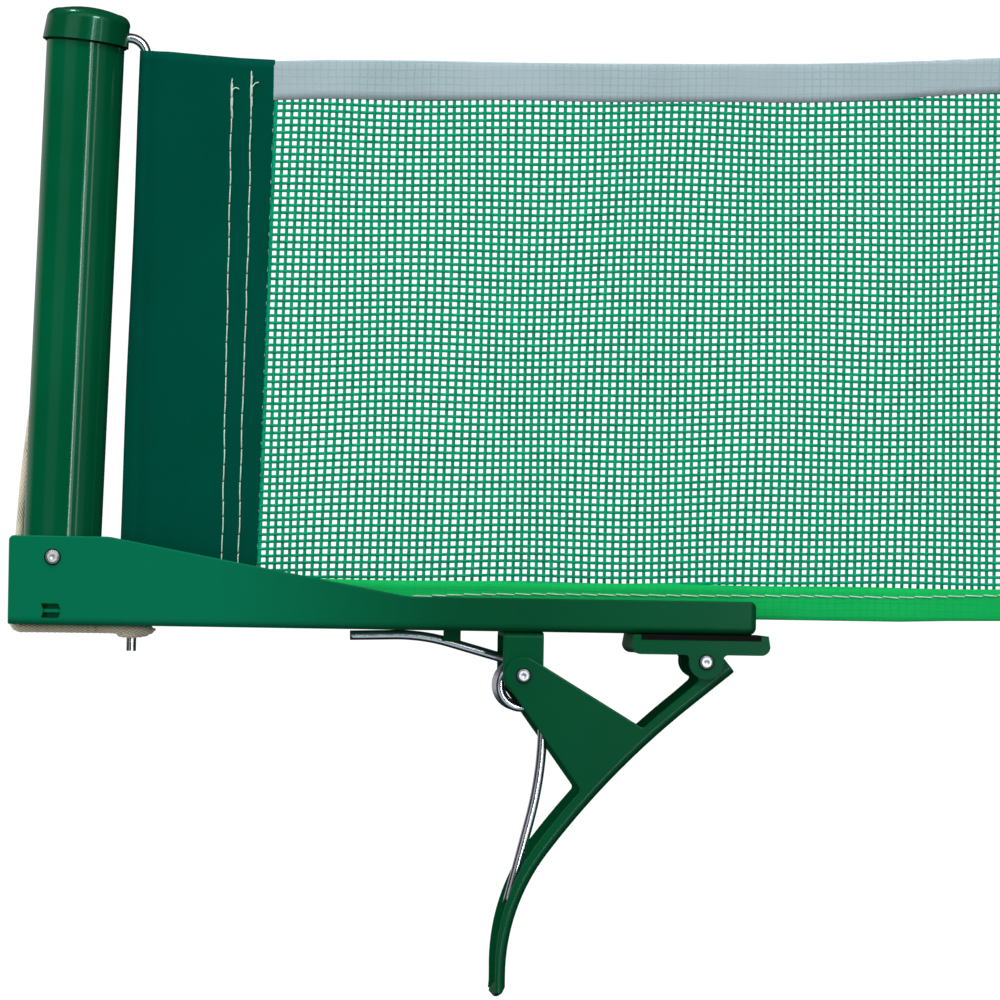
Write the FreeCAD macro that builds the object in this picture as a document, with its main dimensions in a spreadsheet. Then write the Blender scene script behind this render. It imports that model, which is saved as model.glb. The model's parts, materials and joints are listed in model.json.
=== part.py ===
"""Table tennis net clamp with its post, tension cord and the first run of net.

Frame: +Z up, +X along the net towards the middle of the table, +Y across the table.
The origin lies on the table top, at the table's side edge, in the net's own plane.
Sketches are drawn in millimetres from the foot of the post, and every sub-part's
Placement moves them outboard by the distance that the rules of the game ask for.
"""
import FreeCAD
import Part
import Sketcher

import math
import os

V = FreeCAD.Vector
X_AXIS = V(1, 0, 0)
Y_AXIS = V(0, 1, 0)

DIMENSIONS = (
    # where the clamp stands
    ("post_to_edge", 152.5, "post outboard of the table's side edge, by the rules"),
    # bracket: one pressed steel channel, open upward
    ("bracket_steel", 1.5, "sheet thickness"),
    ("bracket_half", 12.0, "half of the outer width"),
    ("bracket_outer_end", 12.9, "outboard end, from the post"),
    ("bracket_inner_end", 185.9, "inboard end, from the post"),
    ("flange_high", 23.5, "flange height beside the post"),
    ("flange_low", 8.9, "flange height over the table"),
    ("slope_top", 13.5, "where the flange starts to taper"),
    ("slope_foot", 93.0, "where the taper ends"),
    ("bend_radius", 2.0, "outer radius of the long bends"),
    ("lip_gap", 12.0, "gap for the net between the lips at the inboard end"),
    ("cord_notch_width", 3.6, "notch for the cord in the outboard end of the web"),
    ("cord_notch_depth", 2.8, "its depth"),
    ("lug_start", 103.6, "lug that keeps the spring's arm in line"),
    ("lug_width", 4.6, "its width"),
    ("lug_drop", 3.0, "its drop below the web"),
    ("lug_offset", 4.9, "its near face, from the mid-plane"),
    ("lug_steel", 1.4, "its thickness"),
    ("lance_across", 4.6, "lanced slot in each flange at the foot of the post"),
    ("lance_height", 3.8, "its height"),
    ("lance_level", 3.7, "its centre above the table top"),
    ("lance_bar", 0.9, "bar left across it"),
    ("lance_sink", 0.5, "how far the bar is pressed in"),
    # post
    ("post_radius", 10.4, "outer radius of the tube"),
    ("post_wall", 1.2, "its wall"),
    ("post_foot_x", 0.45, "centre of its foot"),
    ("post_foot_z", 1.85, "height of its foot, on the web"),
    ("post_length", 155.9, "length of the tube"),
    ("post_lean", 1.75, "lean towards the net, degrees"),
    ("rod_notch_width", 3.6, "notch in the tube's rim for the rod's hook"),
    ("rod_notch_depth", 3.4, "its depth"),
    ("cord_hole_radius", 1.8, "hole in the tube's wall for the cord"),
    ("cord_hole_level", 145.9, "its height above the tube's foot"),
    ("cord_hole_turn", 15.0, "its turn from the back towards the net, degrees"),
    ("post_rivet_x", -2.3, "rivet through the flanges and the tube, from its axis"),
    ("post_rivet_z", 16.0, "its height above the tube's foot"),
    ("post_rivet_radius", 1.6, "its shank"),
    ("post_rivet_head", 1.85, "its head"),
    # cap
    ("cap_rim_x", 5.15, "centre of the rim"),
    ("cap_rim_z", 154.95, "its height"),
    ("cap_tilt", 6.3, "tilt of the cap towards the net, degrees"),
    ("cap_radius", 11.6, "outer radius at the rim"),
    ("cap_shoulder_radius", 11.2, "outer radius where the top's edge begins"),
    ("cap_wall", 0.7, "wall"),
    ("cap_skirt", 5.6, "height of the skirt"),
    ("cap_edge", 2.7, "width of the rounded edge"),
    ("cap_crown", 9.6, "height at the middle of the crown"),
    ("cap_slot_height", 5.5, "slot in the skirt over the rod"),
    # net rod: one bent steel wire
    ("wire_radius", 1.3, "radius of the steel wire of the rod and the spring"),
    ("hook_x", 7.6, "inner leg of the hook"),
    ("hook_foot", 148.5, "its lower end"),
    ("hook_level", 156.6, "top run of the hook"),
    ("hook_inner_bend", 3.0, "radius of the bend inside the post"),
    ("hook_outer_bend", 4.6, "radius of the bend over the sleeve"),
    ("rod_top_x", 21.4, "rod at the level of the hook"),
    ("rod_foot_x", 19.85, "rod at its lower end"),
    ("rod_foot_z", 6.8, "how far its lower end reaches below the table top"),
    ("rod_hole_radius", 1.6, "hole for it in the web"),
    # cord and knot
    ("cord_radius", 1.2, "tension cord"),
    ("knot_start", 15.4, "outboard end of the knot"),
    ("knot_end", 26.6, "inboard end of the knot"),
    ("knot_half", 3.6, "half of its width"),
    ("knot_drop", 3.15, "its depth under the web"),
    ("knot_gap", 0.1, "gap between the knot and the web"),
    ("knot_round", 1.3, "rounding of the knots"),
    ("hook_knot_radius", 3.1, "knot round the hook's inner leg"),
    ("hook_knot_foot", 149.6, "its lower face"),
    ("hook_knot_height", 3.2, "its height"),
    # clevis strap and main pivot
    ("pivot_x", 123.9, "main pivot, from the post"),
    ("pivot_z", -11.6, "its height"),
    ("pivot_radius", 1.5, "shank of both pivot rivets"),
    ("pivot_play", 0.05, "running clearance round a shank"),
    ("pivot_head", 1.72, "radius of both rivets' heads"),
    ("rivet_head_height", 0.9, "height of a rivet's head"),
    ("rivet_dimple", 0.7, "radius of the dimple in a rivet's head"),
    ("clevis_half", 10.8, "half of the strap's outer width"),
    ("clevis_steel", 1.2, "its thickness"),
    ("clevis_round", 5.4, "round of its ears"),
    ("clevis_bend", 1.8, "outer radius of its bends"),
    # lever
    ("lever_half", 12.3, "half of the lever's outer width"),
    ("lever_steel", 1.3, "its thickness"),
    ("lever_depth", 3.9, "depth of the channel along the upper arm"),
    ("handle_depth", 2.7, "depth of the channel at the end of the handle"),
    ("lever_bend", 1.9, "outer radius of its bends"),
    ("boss_radius", 5.0, "round of its ears at the main pivot"),
    ("jaw_boss_radius", 4.2, "round of its ears at the jaw"),
    ("arm_end_x", 180.2, "end of the upper arm, on the web's outer face"),
    ("arm_end_z", -9.83, "its height"),
    ("arm_slope", 39.2, "slope of the upper arm, degrees"),
    ("arm_end_depth", 4.5, "depth of the channel at that end"),
    ("edge_round", 0.4, "rounding of the sheet's pressed edges"),
    ("bow_start_x", 169.09, "where the straight arm turns into the long bow"),
    ("bow_start_z", -18.89, "its height"),
    ("bow_radius", 222.0, "radius of the long bow"),
    ("bow_end_x", 130.94, "where the long bow turns into the handle's curve"),
    ("bow_end_z", -58.88, "its height"),
    ("bow_end_slope", 53.5, "slope there, degrees"),
    ("handle_radius", 54.0, "radius of the handle's curve"),
    ("handle_end_x", 120.35, "end of the handle's curve"),
    ("handle_end_z", -91.0, "its height"),
    ("flange_end_z", -94.2, "where the handle's flanges stop"),
    ("tip_x", 118.5, "tip of the handle"),
    ("tip_z", -97.5, "its height"),
    ("tip_radius", 46.0, "round of the handle's end, seen along the net"),
    ("plate_top_x", 157.3, "upper corner of the side plates, inside the channel"),
    ("plate_top_z", -25.9, "its height"),
    ("plate_low_x", 140.6, "lower corner of the side plates, inside the channel"),
    ("plate_low_z", -43.2, "its height"),
    # jaw pad
    ("jaw_x", 172.4, "jaw pivot, from the post"),
    ("jaw_z", -7.3, "its height"),
    ("pad_half", 13.7, "half of the pad's width"),
    ("pad_steel", 1.2, "its thickness"),
    ("pad_outer_end", 152.5, "outboard end of the pad"),
    ("pad_inner_end", 189.4, "inboard end of the pad"),
    ("pad_rim", 2.4, "width of the raised ends"),
    ("pad_rim_level", -0.2, "height of the raised ends"),
    ("pad_seat_level", -1.6, "height of the seat for the liner"),
    ("pad_flange_level", -5.4, "lower edge of the flanges"),
    ("pad_corner", 2.4, "cut of the lower corners"),
    ("pad_ear_radius", 4.6, "round of the ears at the pivot"),
    ("liner_gap", 0.1, "gap between the closed jaw and the bracket"),
    ("liner_inset", 0.3, "liner inside the pad's edges"),
    # torsion spring
    ("coil_x", 123.8, "axis of the coil, which hangs on the main rivet"),
    ("coil_z", -14.4, "its height"),
    ("coil_radius", 5.7, "mean radius of the coil"),
    ("coil_pitch", 2.66, "pitch of the coil"),
    ("coil_turns", 6.0, "whole turns"),
    ("upper_arm_angle", 74.5, "where the upper arm leaves the coil, degrees"),
    ("upper_arm_run", 20.8, "straight run of the upper arm"),
    ("upper_arm_bend", 50.0, "radius of its bend under the bracket"),
    ("upper_arm_turn", 17.0, "turn of that bend, degrees"),
    ("upper_arm_end", 12.0, "straight end of the upper arm"),
    ("lower_arm_run", 10.6, "straight run of the lower arm"),
    ("lower_arm_bend", 102.0, "radius of its bend"),
    ("lower_arm_turn", 14.2, "turn of that bend, degrees"),
    ("lower_arm_end", 23.0, "straight end inside the handle"),
    # net
    ("sleeve_half", 0.9, "half of the sleeve's thickness"),
    ("band_half", 0.6, "half of the thickness of the tape and the hem"),
    ("mesh_half", 0.3, "half of the mesh's thickness"),
    ("sleeve_tube", 1.9, "outer radius of the pocket round the rod"),
    ("sleeve_bore", 1.4, "inner radius of that pocket"),
    ("net_foot", 4.2, "lower edge of the net above the table top"),
    ("hem_top", 13.9, "upper edge of the bottom hem"),
    ("sleeve_outer_foot", 16.0, "outer edge of the sleeve at its foot"),
    ("sleeve_inner_foot", 52.6, "inner edge of the sleeve at its foot"),
    ("sleeve_outer_top", 19.7, "outer edge of the sleeve at its top"),
    ("sleeve_inner_top", 55.6, "inner edge of the sleeve at its top"),
    ("sleeve_outer_level", 153.3, "height of the sleeve at its outer edge"),
    ("sleeve_inner_level", 151.6, "height of the sleeve at its inner edge"),
    ("tape_near_foot", 141.6, "lower edge of the top tape at the sleeve"),
    ("tape_near_top", 151.9, "upper edge of the top tape at the sleeve"),
    ("tape_knee_x", 178.0, "where the tape begins to rise"),
    ("tape_knee_foot", 142.6, "lower edge of the tape there"),
    ("tape_knee_top", 153.2, "upper edge of the tape there"),
    ("net_end_x", 258.0, "end of the mesh at the second sleeve"),
    ("tape_far_foot", 146.8, "lower edge of the tape at the second sleeve"),
    ("tape_far_top", 156.2, "upper edge of the tape at the second sleeve"),
    ("sleeve_width", 36.0, "width of the second sleeve"),
)

# The cord's route from inside the post, round its back and down to the bracket's
# outboard end, then along under the web to the knot. It is pulled tight, so it winds
# on the tube as far down as it touches it and runs straight below that.
CORD_ROUTE = (
    (7.5, 3.25, 150.9),
    (7.95, 11.55, 146.6),
    (6.35, 11.82, 138.0),
    (4.16, 11.88, 126.4),
    (0.38, 11.45, 105.6),
    (-3.16, 10.20, 84.7),
    (-6.27, 8.22, 63.9),
    (-8.77, 5.66, 43.0),
    (-11.6, 0.0, -1.3),
    (15.3, 0.0, -1.32),
)
CORD_TIGHT_BENDS = {1: 2.4, 8: 2.0}
BEND_SHARE = 0.45


def make_sheet(document):
    sheet = document.addObject("Spreadsheet::Sheet", "Dimensions")
    for row, (alias, value, meaning) in enumerate(DIMENSIONS, start=1):
        sheet.set(f"A{row}", str(value))
        sheet.setAlias(f"A{row}", alias)
        sheet.set(f"B{row}", meaning)
    document.recompute()
    return sheet


doc = FreeCAD.newDocument("NetClamp")
dims = make_sheet(doc)
subparts = []


def bound(expression):
    """The expression with each alias written as a cell of the sheet."""
    words = sorted((row[0] for row in DIMENSIONS), key=len, reverse=True)
    for word in words:
        expression = expression.replace(word, f"<{words.index(word)}>")
    for word in words:
        expression = expression.replace(f"<{words.index(word)}>", f"Dimensions.{word}")
    return expression


def value(expression):
    result = dims.evalExpression(bound(str(expression)))
    return float(result.Value if hasattr(result, "Value") else result)


def bind(thing, path, expression):
    thing.setExpression(path, bound(str(expression)))


def place(thing, at_x="0", at_z="0", tilt="0"):
    """Put a sub-part in the frame, tilted about Y by so many degrees."""
    thing.Placement = FreeCAD.Placement(V(), FreeCAD.Rotation(Y_AXIS, 1))
    bind(thing, "Placement.Base.x", f"{at_x} - post_to_edge")
    bind(thing, "Placement.Base.z", at_z)
    bind(thing, "Placement.Rotation.Angle", tilt)


def new_body(label):
    body = doc.addObject("PartDesign::Body", label)
    body.Label = label
    subparts.append(body)
    return body


def new_sketch(body, role, offset="0"):
    """A sketch on one of the body's own origin planes, moved along its normal."""
    sketch = body.newObject("Sketcher::SketchObject", f"{body.Name}_sketch")
    plane = [f for f in body.Origin.OriginFeatures if f.Role == role][0]
    sketch.AttachmentSupport = [(plane, "")]
    sketch.MapMode = "FlatFace"
    bind(sketch, "AttachmentOffset.Base.z", offset)
    return sketch


def fix_point(sketch, geometry, position, point):
    """Tie one end of a line or arc to its place, measured from the origin."""
    for kind, coordinate in zip(("DistanceX", "DistanceY"), point):
        here = value(coordinate)
        index = sketch.addConstraint(
            Sketcher.Constraint(kind, -1, 1, geometry, position, here)
        )
        bind(sketch, f"Constraints[{index}]", coordinate)


def arc_between(start, end, radius, bulge_left):
    """The short arc from start to end, bulging left or right of the way along it."""
    chord = end - start
    half = chord.Length / 2
    rise = math.sqrt(max(radius * radius - half * half, 0.0))
    left = V(-chord.y, chord.x, 0).normalize()
    centre = (start + end) / 2 - left * (rise if bulge_left else -rise)
    first, last = (end, start) if bulge_left else (start, end)
    circle = Part.Circle(centre, V(0, 0, 1), radius)
    angles = [math.atan2(p.y - centre.y, p.x - centre.x) for p in (first, last)]
    if angles[1] < angles[0]:
        angles[1] += 2 * math.pi
    return Part.ArcOfCircle(circle, angles[0], angles[1])


def outline(sketch, vertices):
    """A closed outline. A vertex is (x, y) or (x, y, radius): the radius bends the
    side that leaves it, to the left if positive and to the right if negative."""
    points = [V(value(v[0]), value(v[1]), 0) for v in vertices]
    sides = []
    for number, vertex in enumerate(vertices):
        start, end = points[number], points[(number + 1) % len(points)]
        if len(vertex) == 2:
            side = sketch.addGeometry(Part.LineSegment(start, end), False)
            sides.append((side, 1, 2))
            continue
        radius = value(vertex[2])
        arc = arc_between(start, end, abs(radius), radius > 0)
        side = sketch.addGeometry(arc, False)
        sides.append((side, 2, 1) if radius > 0 else (side, 1, 2))
        index = sketch.addConstraint(
            Sketcher.Constraint("Radius", side, abs(radius))
        )
        bind(sketch, f"Constraints[{index}]", f"abs({vertex[2]})")
    for number, (side, first, last) in enumerate(sides):
        after = sides[(number + 1) % len(sides)]
        sketch.addConstraint(
            Sketcher.Constraint("Coincident", side, last, after[0], after[1])
        )
        fix_point(sketch, side, first, vertices[number])


def circle(sketch, x, y, radius):
    ring = sketch.addGeometry(
        Part.Circle(V(value(x), value(y), 0), V(0, 0, 1), value(radius)), False
    )
    fix_point(sketch, ring, 3, (x, y))
    index = sketch.addConstraint(Sketcher.Constraint("Radius", ring, value(radius)))
    bind(sketch, f"Constraints[{index}]", radius)


def rectangle(sketch, left, low, right, high):
    outline(sketch, [(left, low), (right, low), (right, high), (left, high)])


def pad(body, sketch, length, symmetric=False, reversed_way=False):
    feature = body.newObject("PartDesign::Pad", f"{body.Name}_pad")
    feature.Profile = sketch
    feature.SideType = "Symmetric" if symmetric else "One side"
    feature.Reversed = reversed_way
    bind(feature, "Length", length)
    doc.recompute()
    check_feature(feature)
    return feature


def check_feature(feature):
    if "Invalid" in feature.State or feature.Shape.isNull():
        raise ValueError(f"{feature.Name} has no shape")


def pocket(body, sketch, length, symmetric=False, reversed_way=False):
    """Cut a sketch through the body, and make sure that it really cuts."""
    before = body.Shape.Volume
    feature = body.newObject("PartDesign::Pocket", f"{body.Name}_pocket")
    feature.Profile = sketch
    feature.SideType = "Symmetric" if symmetric else "One side"
    feature.Reversed = reversed_way
    bind(feature, "Length", length)
    doc.recompute()
    if body.Shape.Volume >= before:
        raise ValueError(f"{feature.Name} cuts nothing")
    return feature


def revolve(body, sketch, axis):
    feature = body.newObject("PartDesign::Revolution", f"{body.Name}_turned")
    feature.Profile = sketch
    feature.ReferenceAxis = (sketch, [axis])
    feature.Angle = 360
    doc.recompute()
    return feature


def fillet(body, radius, wanted):
    """Round every edge of the body's tip whose middle the test picks."""
    base = body.Tip
    names = [
        f"Edge{number}"
        for number, edge in enumerate(base.Shape.Edges, start=1)
        if wanted(edge.valueAt((edge.FirstParameter + edge.LastParameter) / 2), edge)
    ]
    if not names:
        raise ValueError(f"{body.Name} has no such edge to round")
    feature = body.newObject("PartDesign::Fillet", f"{body.Name}_round")
    feature.Base = (base, names)
    bind(feature, "Radius", radius)
    doc.recompute()
    return feature


def round_rims(body, half, keep=lambda p: True):
    """Round the sharp edges of a pressing's two flat sides, except small holes."""

    def on_rim(point, edge):
        flat = all(near(abs(v.Point.y), half) for v in edge.Vertexes)
        return flat and near(abs(point.y), half) and edge.Length > 1 and keep(point)

    return fillet(body, "edge_round", on_rim)


def round_corner(body, radius, x, z):
    """Round the corner that runs across the body and lies nearest to a point."""
    target = V(value(x), 0, value(z))

    def distance(edge):
        ends = [V(v.Point.x, 0, v.Point.z) for v in edge.Vertexes]
        if len(ends) != 2 or (ends[0] - ends[1]).Length > 0.01:
            return math.inf
        return (ends[0] - target).Length

    nearest = min(distance(edge) for edge in body.Tip.Shape.Edges)
    return fillet(body, radius, lambda p, edge: distance(edge) < nearest + 0.01)


def near(number, expression, slack=0.01):
    return abs(number - value(expression)) < slack


# --- bracket -------------------------------------------------------------------


def post_point(x, z):
    """Expressions for a point of the leaning post, given from its foot."""
    east = f"(post_foot_x + ({x}) * cos(post_lean) + ({z}) * sin(post_lean))"
    up = f"(post_foot_z - ({x}) * sin(post_lean) + ({z}) * cos(post_lean))"
    return east, up


def bracket_blank(body):
    sketch = new_sketch(body, "XZ_Plane")
    outline(
        sketch,
        [
            ("-bracket_outer_end", "0"),
            ("bracket_inner_end", "0"),
            ("bracket_inner_end", "flange_low"),
            ("slope_foot", "flange_low"),
            ("slope_top", "flange_high"),
            ("-bracket_outer_end", "flange_high"),
        ],
    )
    pad(body, sketch, "2 * bracket_half", symmetric=True)
    fillet(body, "12 * bend_radius", lambda p, e: near(p.x, "slope_foot"))
    fillet(body, "6 * bend_radius", lambda p, e: near(p.x, "slope_top"))
    fillet(
        body,
        "0.7 * bend_radius",
        lambda p, e: near(p.x, "-bracket_outer_end") and near(p.z, "flange_high"),
    )
    fillet(
        body,
        "bend_radius",
        lambda p, e: near(p.x, "bracket_inner_end") and not near(p.z, "0"),
    )
    fillet(
        body,
        "bend_radius",
        lambda p, e: near(abs(p.y), "bracket_half") and near(p.z, "0"),
    )


def bracket_channel():
    body = new_body("bracket_channel")
    bracket_blank(body)
    inside = new_sketch(body, "YZ_Plane", "-bracket_outer_end - 1")
    half = "(bracket_half - bracket_steel)"
    rectangle(inside, f"-{half}", "bracket_steel", half, "flange_high + 1")
    length = "bracket_outer_end + bracket_inner_end + 1 - bracket_steel"
    pocket(body, inside, length, reversed_way=True)
    round_rims(body, "bracket_half")
    gap = new_sketch(body, "YZ_Plane", "bracket_inner_end - 2 * bracket_steel")
    rectangle(gap, "-lip_gap / 2", "bracket_steel", "lip_gap / 2", "flange_high")
    pocket(body, gap, "3 * bracket_steel", reversed_way=True)
    bracket_holes(body)
    bracket_lances(body)
    bracket_lug(body)
    place(body)


def bracket_holes(body):
    web = new_sketch(body, "XY_Plane", "-1")
    at_web = "(rod_foot_x + rod_foot_z * (rod_top_x - rod_foot_x) / hook_level)"
    circle(web, at_web, "0", "rod_hole_radius")
    rectangle(
        web,
        "-bracket_outer_end - 1",
        "-cord_notch_width / 2",
        "cord_notch_depth - bracket_outer_end",
        "cord_notch_width / 2",
    )
    pocket(body, web, "bracket_steel + 2", reversed_way=True)
    rivet = new_sketch(body, "XZ_Plane")
    circle(rivet, *post_point("post_rivet_x", "post_rivet_z"), "post_rivet_radius")
    pocket(body, rivet, "2 * bracket_half + 2", symmetric=True)


def bracket_lances(body):
    """A slot at the foot of the post in each flange, with a bar pressed inwards."""
    east = post_point("post_rivet_x", "post_rivet_z")[0]
    across = "lance_across / 2"
    through = new_sketch(body, "XZ_Plane")
    for way in ("", "-"):
        inner = f"lance_level + ({way}lance_bar / 2)"
        outer = f"lance_level + ({way}lance_height / 2)"
        corner = f"{across} - 0.5"
        outline(
            through,
            [
                (f"{east} - {across}", inner),
                (f"{east} + {across}", inner),
                (f"{east} + {corner}", outer),
                (f"{east} - {corner}", outer),
            ],
        )
    pocket(body, through, "2 * bracket_half + 2", symmetric=True)
    for way in ("", "-"):
        face = new_sketch(body, "XZ_Plane", f"{way}(bracket_half - lance_sink)")
        rectangle(
            face,
            f"{east} - {across}",
            "lance_level - lance_bar / 2",
            f"{east} + {across}",
            "lance_level + lance_bar / 2",
        )
        pocket(body, face, "2 * lance_sink", reversed_way=way == "")


def bracket_lug(body):
    lug = new_sketch(body, "XZ_Plane", "-lug_offset")
    rectangle(lug, "lug_start", "-lug_drop", "lug_start + lug_width", "bracket_steel / 2")
    pad(body, lug, "lug_steel", reversed_way=True)


# --- post, cap and rod ---------------------------------------------------------


def post_tube():
    body = new_body("post_tube")
    ring = new_sketch(body, "XY_Plane")
    circle(ring, "0", "0", "post_radius")
    circle(ring, "0", "0", "post_radius - post_wall")
    pad(body, ring, "post_length")
    notch = new_sketch(body, "YZ_Plane")
    rectangle(
        notch,
        "-rod_notch_width / 2",
        "post_length - rod_notch_depth",
        "rod_notch_width / 2",
        "post_length + 1",
    )
    pocket(body, notch, "post_radius + 1", reversed_way=True)
    rivet = new_sketch(body, "XZ_Plane")
    circle(rivet, "post_rivet_x", "post_rivet_z", "post_rivet_radius")
    pocket(body, rivet, "2 * post_radius + 2", symmetric=True)
    turned = new_sketch(body, "XZ_Plane")
    bind(turned, "AttachmentOffset.Rotation.Angle", "-cord_hole_turn")
    turned.AttachmentOffset.Rotation.Axis = Y_AXIS
    circle(turned, "0", "cord_hole_level", "cord_hole_radius")
    pocket(body, turned, "post_radius + 1")
    place(body, "post_foot_x", "post_foot_z", "post_lean")


def rivet(label, x, z, shank, head, half_grip):
    """A rivet across the clamp: a shank and two low heads with a dimple in each."""
    body = new_body(label)
    profile = new_sketch(body, "XY_Plane")
    top = f"({half_grip} + rivet_head_height)"
    half = [
        ("0", top + " - rivet_dimple / 2"),
        ("rivet_dimple", top),
        (f"{head} * 0.75", top),
        (head, f"{top} - 0.35 * rivet_head_height"),
        (head, half_grip),
        (shank, half_grip),
    ]
    mirrored = [(across, f"-({along})") for across, along in reversed(half)]
    outline(profile, half + mirrored)
    revolve(body, profile, "V_Axis")
    place(body, x, z)


def post_cap():
    body = new_body("post_cap")
    profile = new_sketch(body, "XZ_Plane")
    edge_x = "(cap_shoulder_radius - cap_edge)"
    edge_z = "(cap_skirt + cap_edge)"
    rise = f"(cap_crown - {edge_z})"
    crown = f"(({edge_x} * {edge_x} + {rise} * {rise}) / (2 * {rise}))"
    outline(
        profile,
        [
            ("cap_radius", "0"),
            ("cap_shoulder_radius", "cap_skirt", "-cap_edge"),
            (edge_x, edge_z, f"-{crown}"),
            ("0", "cap_crown"),
            ("0", "cap_crown - cap_wall", crown),
            (edge_x, f"{edge_z} - cap_wall", "cap_edge - cap_wall"),
            ("cap_shoulder_radius - cap_wall", "cap_skirt"),
            ("cap_radius - cap_wall", "0"),
        ],
    )
    revolve(body, profile, "V_Axis")
    slot = new_sketch(body, "YZ_Plane")
    half = "rod_notch_width / 2"
    rectangle(slot, f"-{half}", "-1", half, "cap_slot_height")
    pocket(body, slot, "cap_radius + 1", reversed_way=True)
    place(body, "cap_rim_x", "cap_rim_z", "cap_tilt")


def net_rod():
    """The wire that carries the net: a hook into the post, a long straight leg
    through the sleeve and the bracket's web, and a free lower end for the cord."""
    body = new_body("net_rod")
    spine = new_sketch(body, "XZ_Plane")
    corners = [
        ("hook_x", "hook_foot"),
        ("hook_x", "hook_level"),
        ("rod_top_x", "hook_level"),
        ("rod_foot_x", "-rod_foot_z"),
    ]
    points = [V(value(x), value(z), 0) for x, z in corners]
    bends = ["hook_inner_bend", "hook_outer_bend"]
    route = rounded_route(points, [value(bend) for bend in bends])
    parts = [spine.addGeometry(curve, False) for curve in route]
    for first, second in zip(parts, parts[1:]):
        ends = joined_ends(spine, first, second)
        spine.addConstraint(
            Sketcher.Constraint("Tangent", first, ends[0], second, ends[1])
        )
    for arc, bend in zip(parts[1::2], bends):
        index = spine.addConstraint(Sketcher.Constraint("Radius", arc, value(bend)))
        bind(spine, f"Constraints[{index}]", bend)
    fix_point(spine, parts[0], 1, corners[0])
    fix_point(spine, parts[-1], 2, corners[-1])
    spine.addConstraint(Sketcher.Constraint("Vertical", parts[0]))
    spine.addConstraint(Sketcher.Constraint("Horizontal", parts[2]))
    for position, kind, size in ((2, "DistanceY", "hook_level"),):
        index = spine.addConstraint(
            Sketcher.Constraint(kind, -1, 1, parts[2], position, value(size))
        )
        bind(spine, f"Constraints[{index}]", size)
    section = new_sketch(body, "XY_Plane", "hook_foot")
    circle(section, "hook_x", "0", "wire_radius")
    doc.recompute()
    sweep = body.newObject("PartDesign::AdditivePipe", "net_rod_wire")
    sweep.Profile = section
    sweep.Spine = (spine, [f"Edge{number + 1}" for number in range(len(parts))])
    sweep.Transition = "Transformed"
    doc.recompute()
    place(body)


def joined_ends(sketch, first, second):
    """Which end of one sketch curve lies on which end of the next."""
    for one in (1, 2):
        for other in (1, 2):
            gap = sketch.getPoint(first, one) - sketch.getPoint(second, other)
            if gap.Length < 1e-6:
                return one, other
    raise ValueError("two curves of a route do not meet")


def rounded_route(points, radii):
    """Straight runs joined by tangent arcs, as a list of curves."""
    curves = []
    start = points[0]
    for before, corner, after, radius in zip(points, points[1:], points[2:], radii):
        back = (before - corner).normalize()
        on = (after - corner).normalize()
        half_turn = (math.pi - back.getAngle(on)) / 2
        reach = radius * math.tan(half_turn)
        entry = corner + back * reach
        leave = corner + on * reach
        middle_way = (back + on).normalize()
        middle = corner + middle_way * (radius / math.cos(half_turn) - radius)
        curves.append(Part.LineSegment(start, entry))
        curves.append(Part.Arc(entry, middle, leave))
        start = leave
    curves.append(Part.LineSegment(start, points[-1]))
    return curves


# --- cord and knot -------------------------------------------------------------


def route_radii(points, tight_bends):
    """The largest arc that each corner of the route has room for."""
    radii = []
    for number, (before, corner, after) in enumerate(
        zip(points, points[1:], points[2:]), start=1
    ):
        runs = min((corner - before).Length, (after - corner).Length)
        half_turn = (math.pi - (before - corner).getAngle(after - corner)) / 2
        room = BEND_SHARE * runs / math.tan(half_turn)
        radii.append(min(room, tight_bends.get(number, room)))
    return radii


def swept_wire(label, curves, radius):
    """A round wire along curves that meet end to end, as one solid."""
    path = Part.Wire([curve.toShape() for curve in curves])
    first = curves[0]
    start = first.value(first.FirstParameter)
    way = first.tangent(first.FirstParameter)[0]
    section = Part.Wire([Part.makeCircle(radius, start, way)])
    solid = path.makePipeShell([section], True, False)
    if solid.Volume < 0:
        solid.reverse()
    check_wire(label, solid, path.Length, radius)
    feature = doc.addObject("Part::Feature", label)
    feature.Label = label
    feature.Shape = solid
    subparts.append(feature)
    place(feature)


def check_wire(label, solid, length, radius):
    expected = math.pi * radius * radius * length
    share = solid.Volume / expected
    print(f"{label}: length {length:.1f} mm, volume {share:.4f} of section x length")
    if abs(share - 1) > 0.01:
        raise ValueError(f"{label} is not a clean sweep")


def tension_cord():
    points = [V(*point) for point in CORD_ROUTE]
    radii = route_radii(points, CORD_TIGHT_BENDS)
    print("tension_cord: bend radii", [round(radius, 1) for radius in radii])
    swept_wire("tension_cord", rounded_route(points, radii), value("cord_radius"))


def cord_knot():
    body = new_body("cord_knot")
    sketch = new_sketch(body, "XY_Plane", "-knot_drop")
    outline(
        sketch,
        [
            ("knot_start + knot_half", "-knot_half"),
            ("knot_end - knot_half", "-knot_half", "-knot_half"),
            ("knot_end", "0", "-knot_half"),
            ("knot_end - knot_half", "knot_half"),
            ("knot_start + knot_half", "knot_half", "-knot_half"),
            ("knot_start", "0", "-knot_half"),
        ],
    )
    pad(body, sketch, "knot_drop - knot_gap")
    fillet(body, "knot_round", lambda p, e: True)
    hole = new_sketch(body, "XY_Plane", "-knot_drop - 1")
    circle(hole, "rod_foot_x + 0.05", "0", "wire_radius + 0.06")
    pocket(body, hole, "knot_drop + 2", reversed_way=True)
    place(body)


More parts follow.
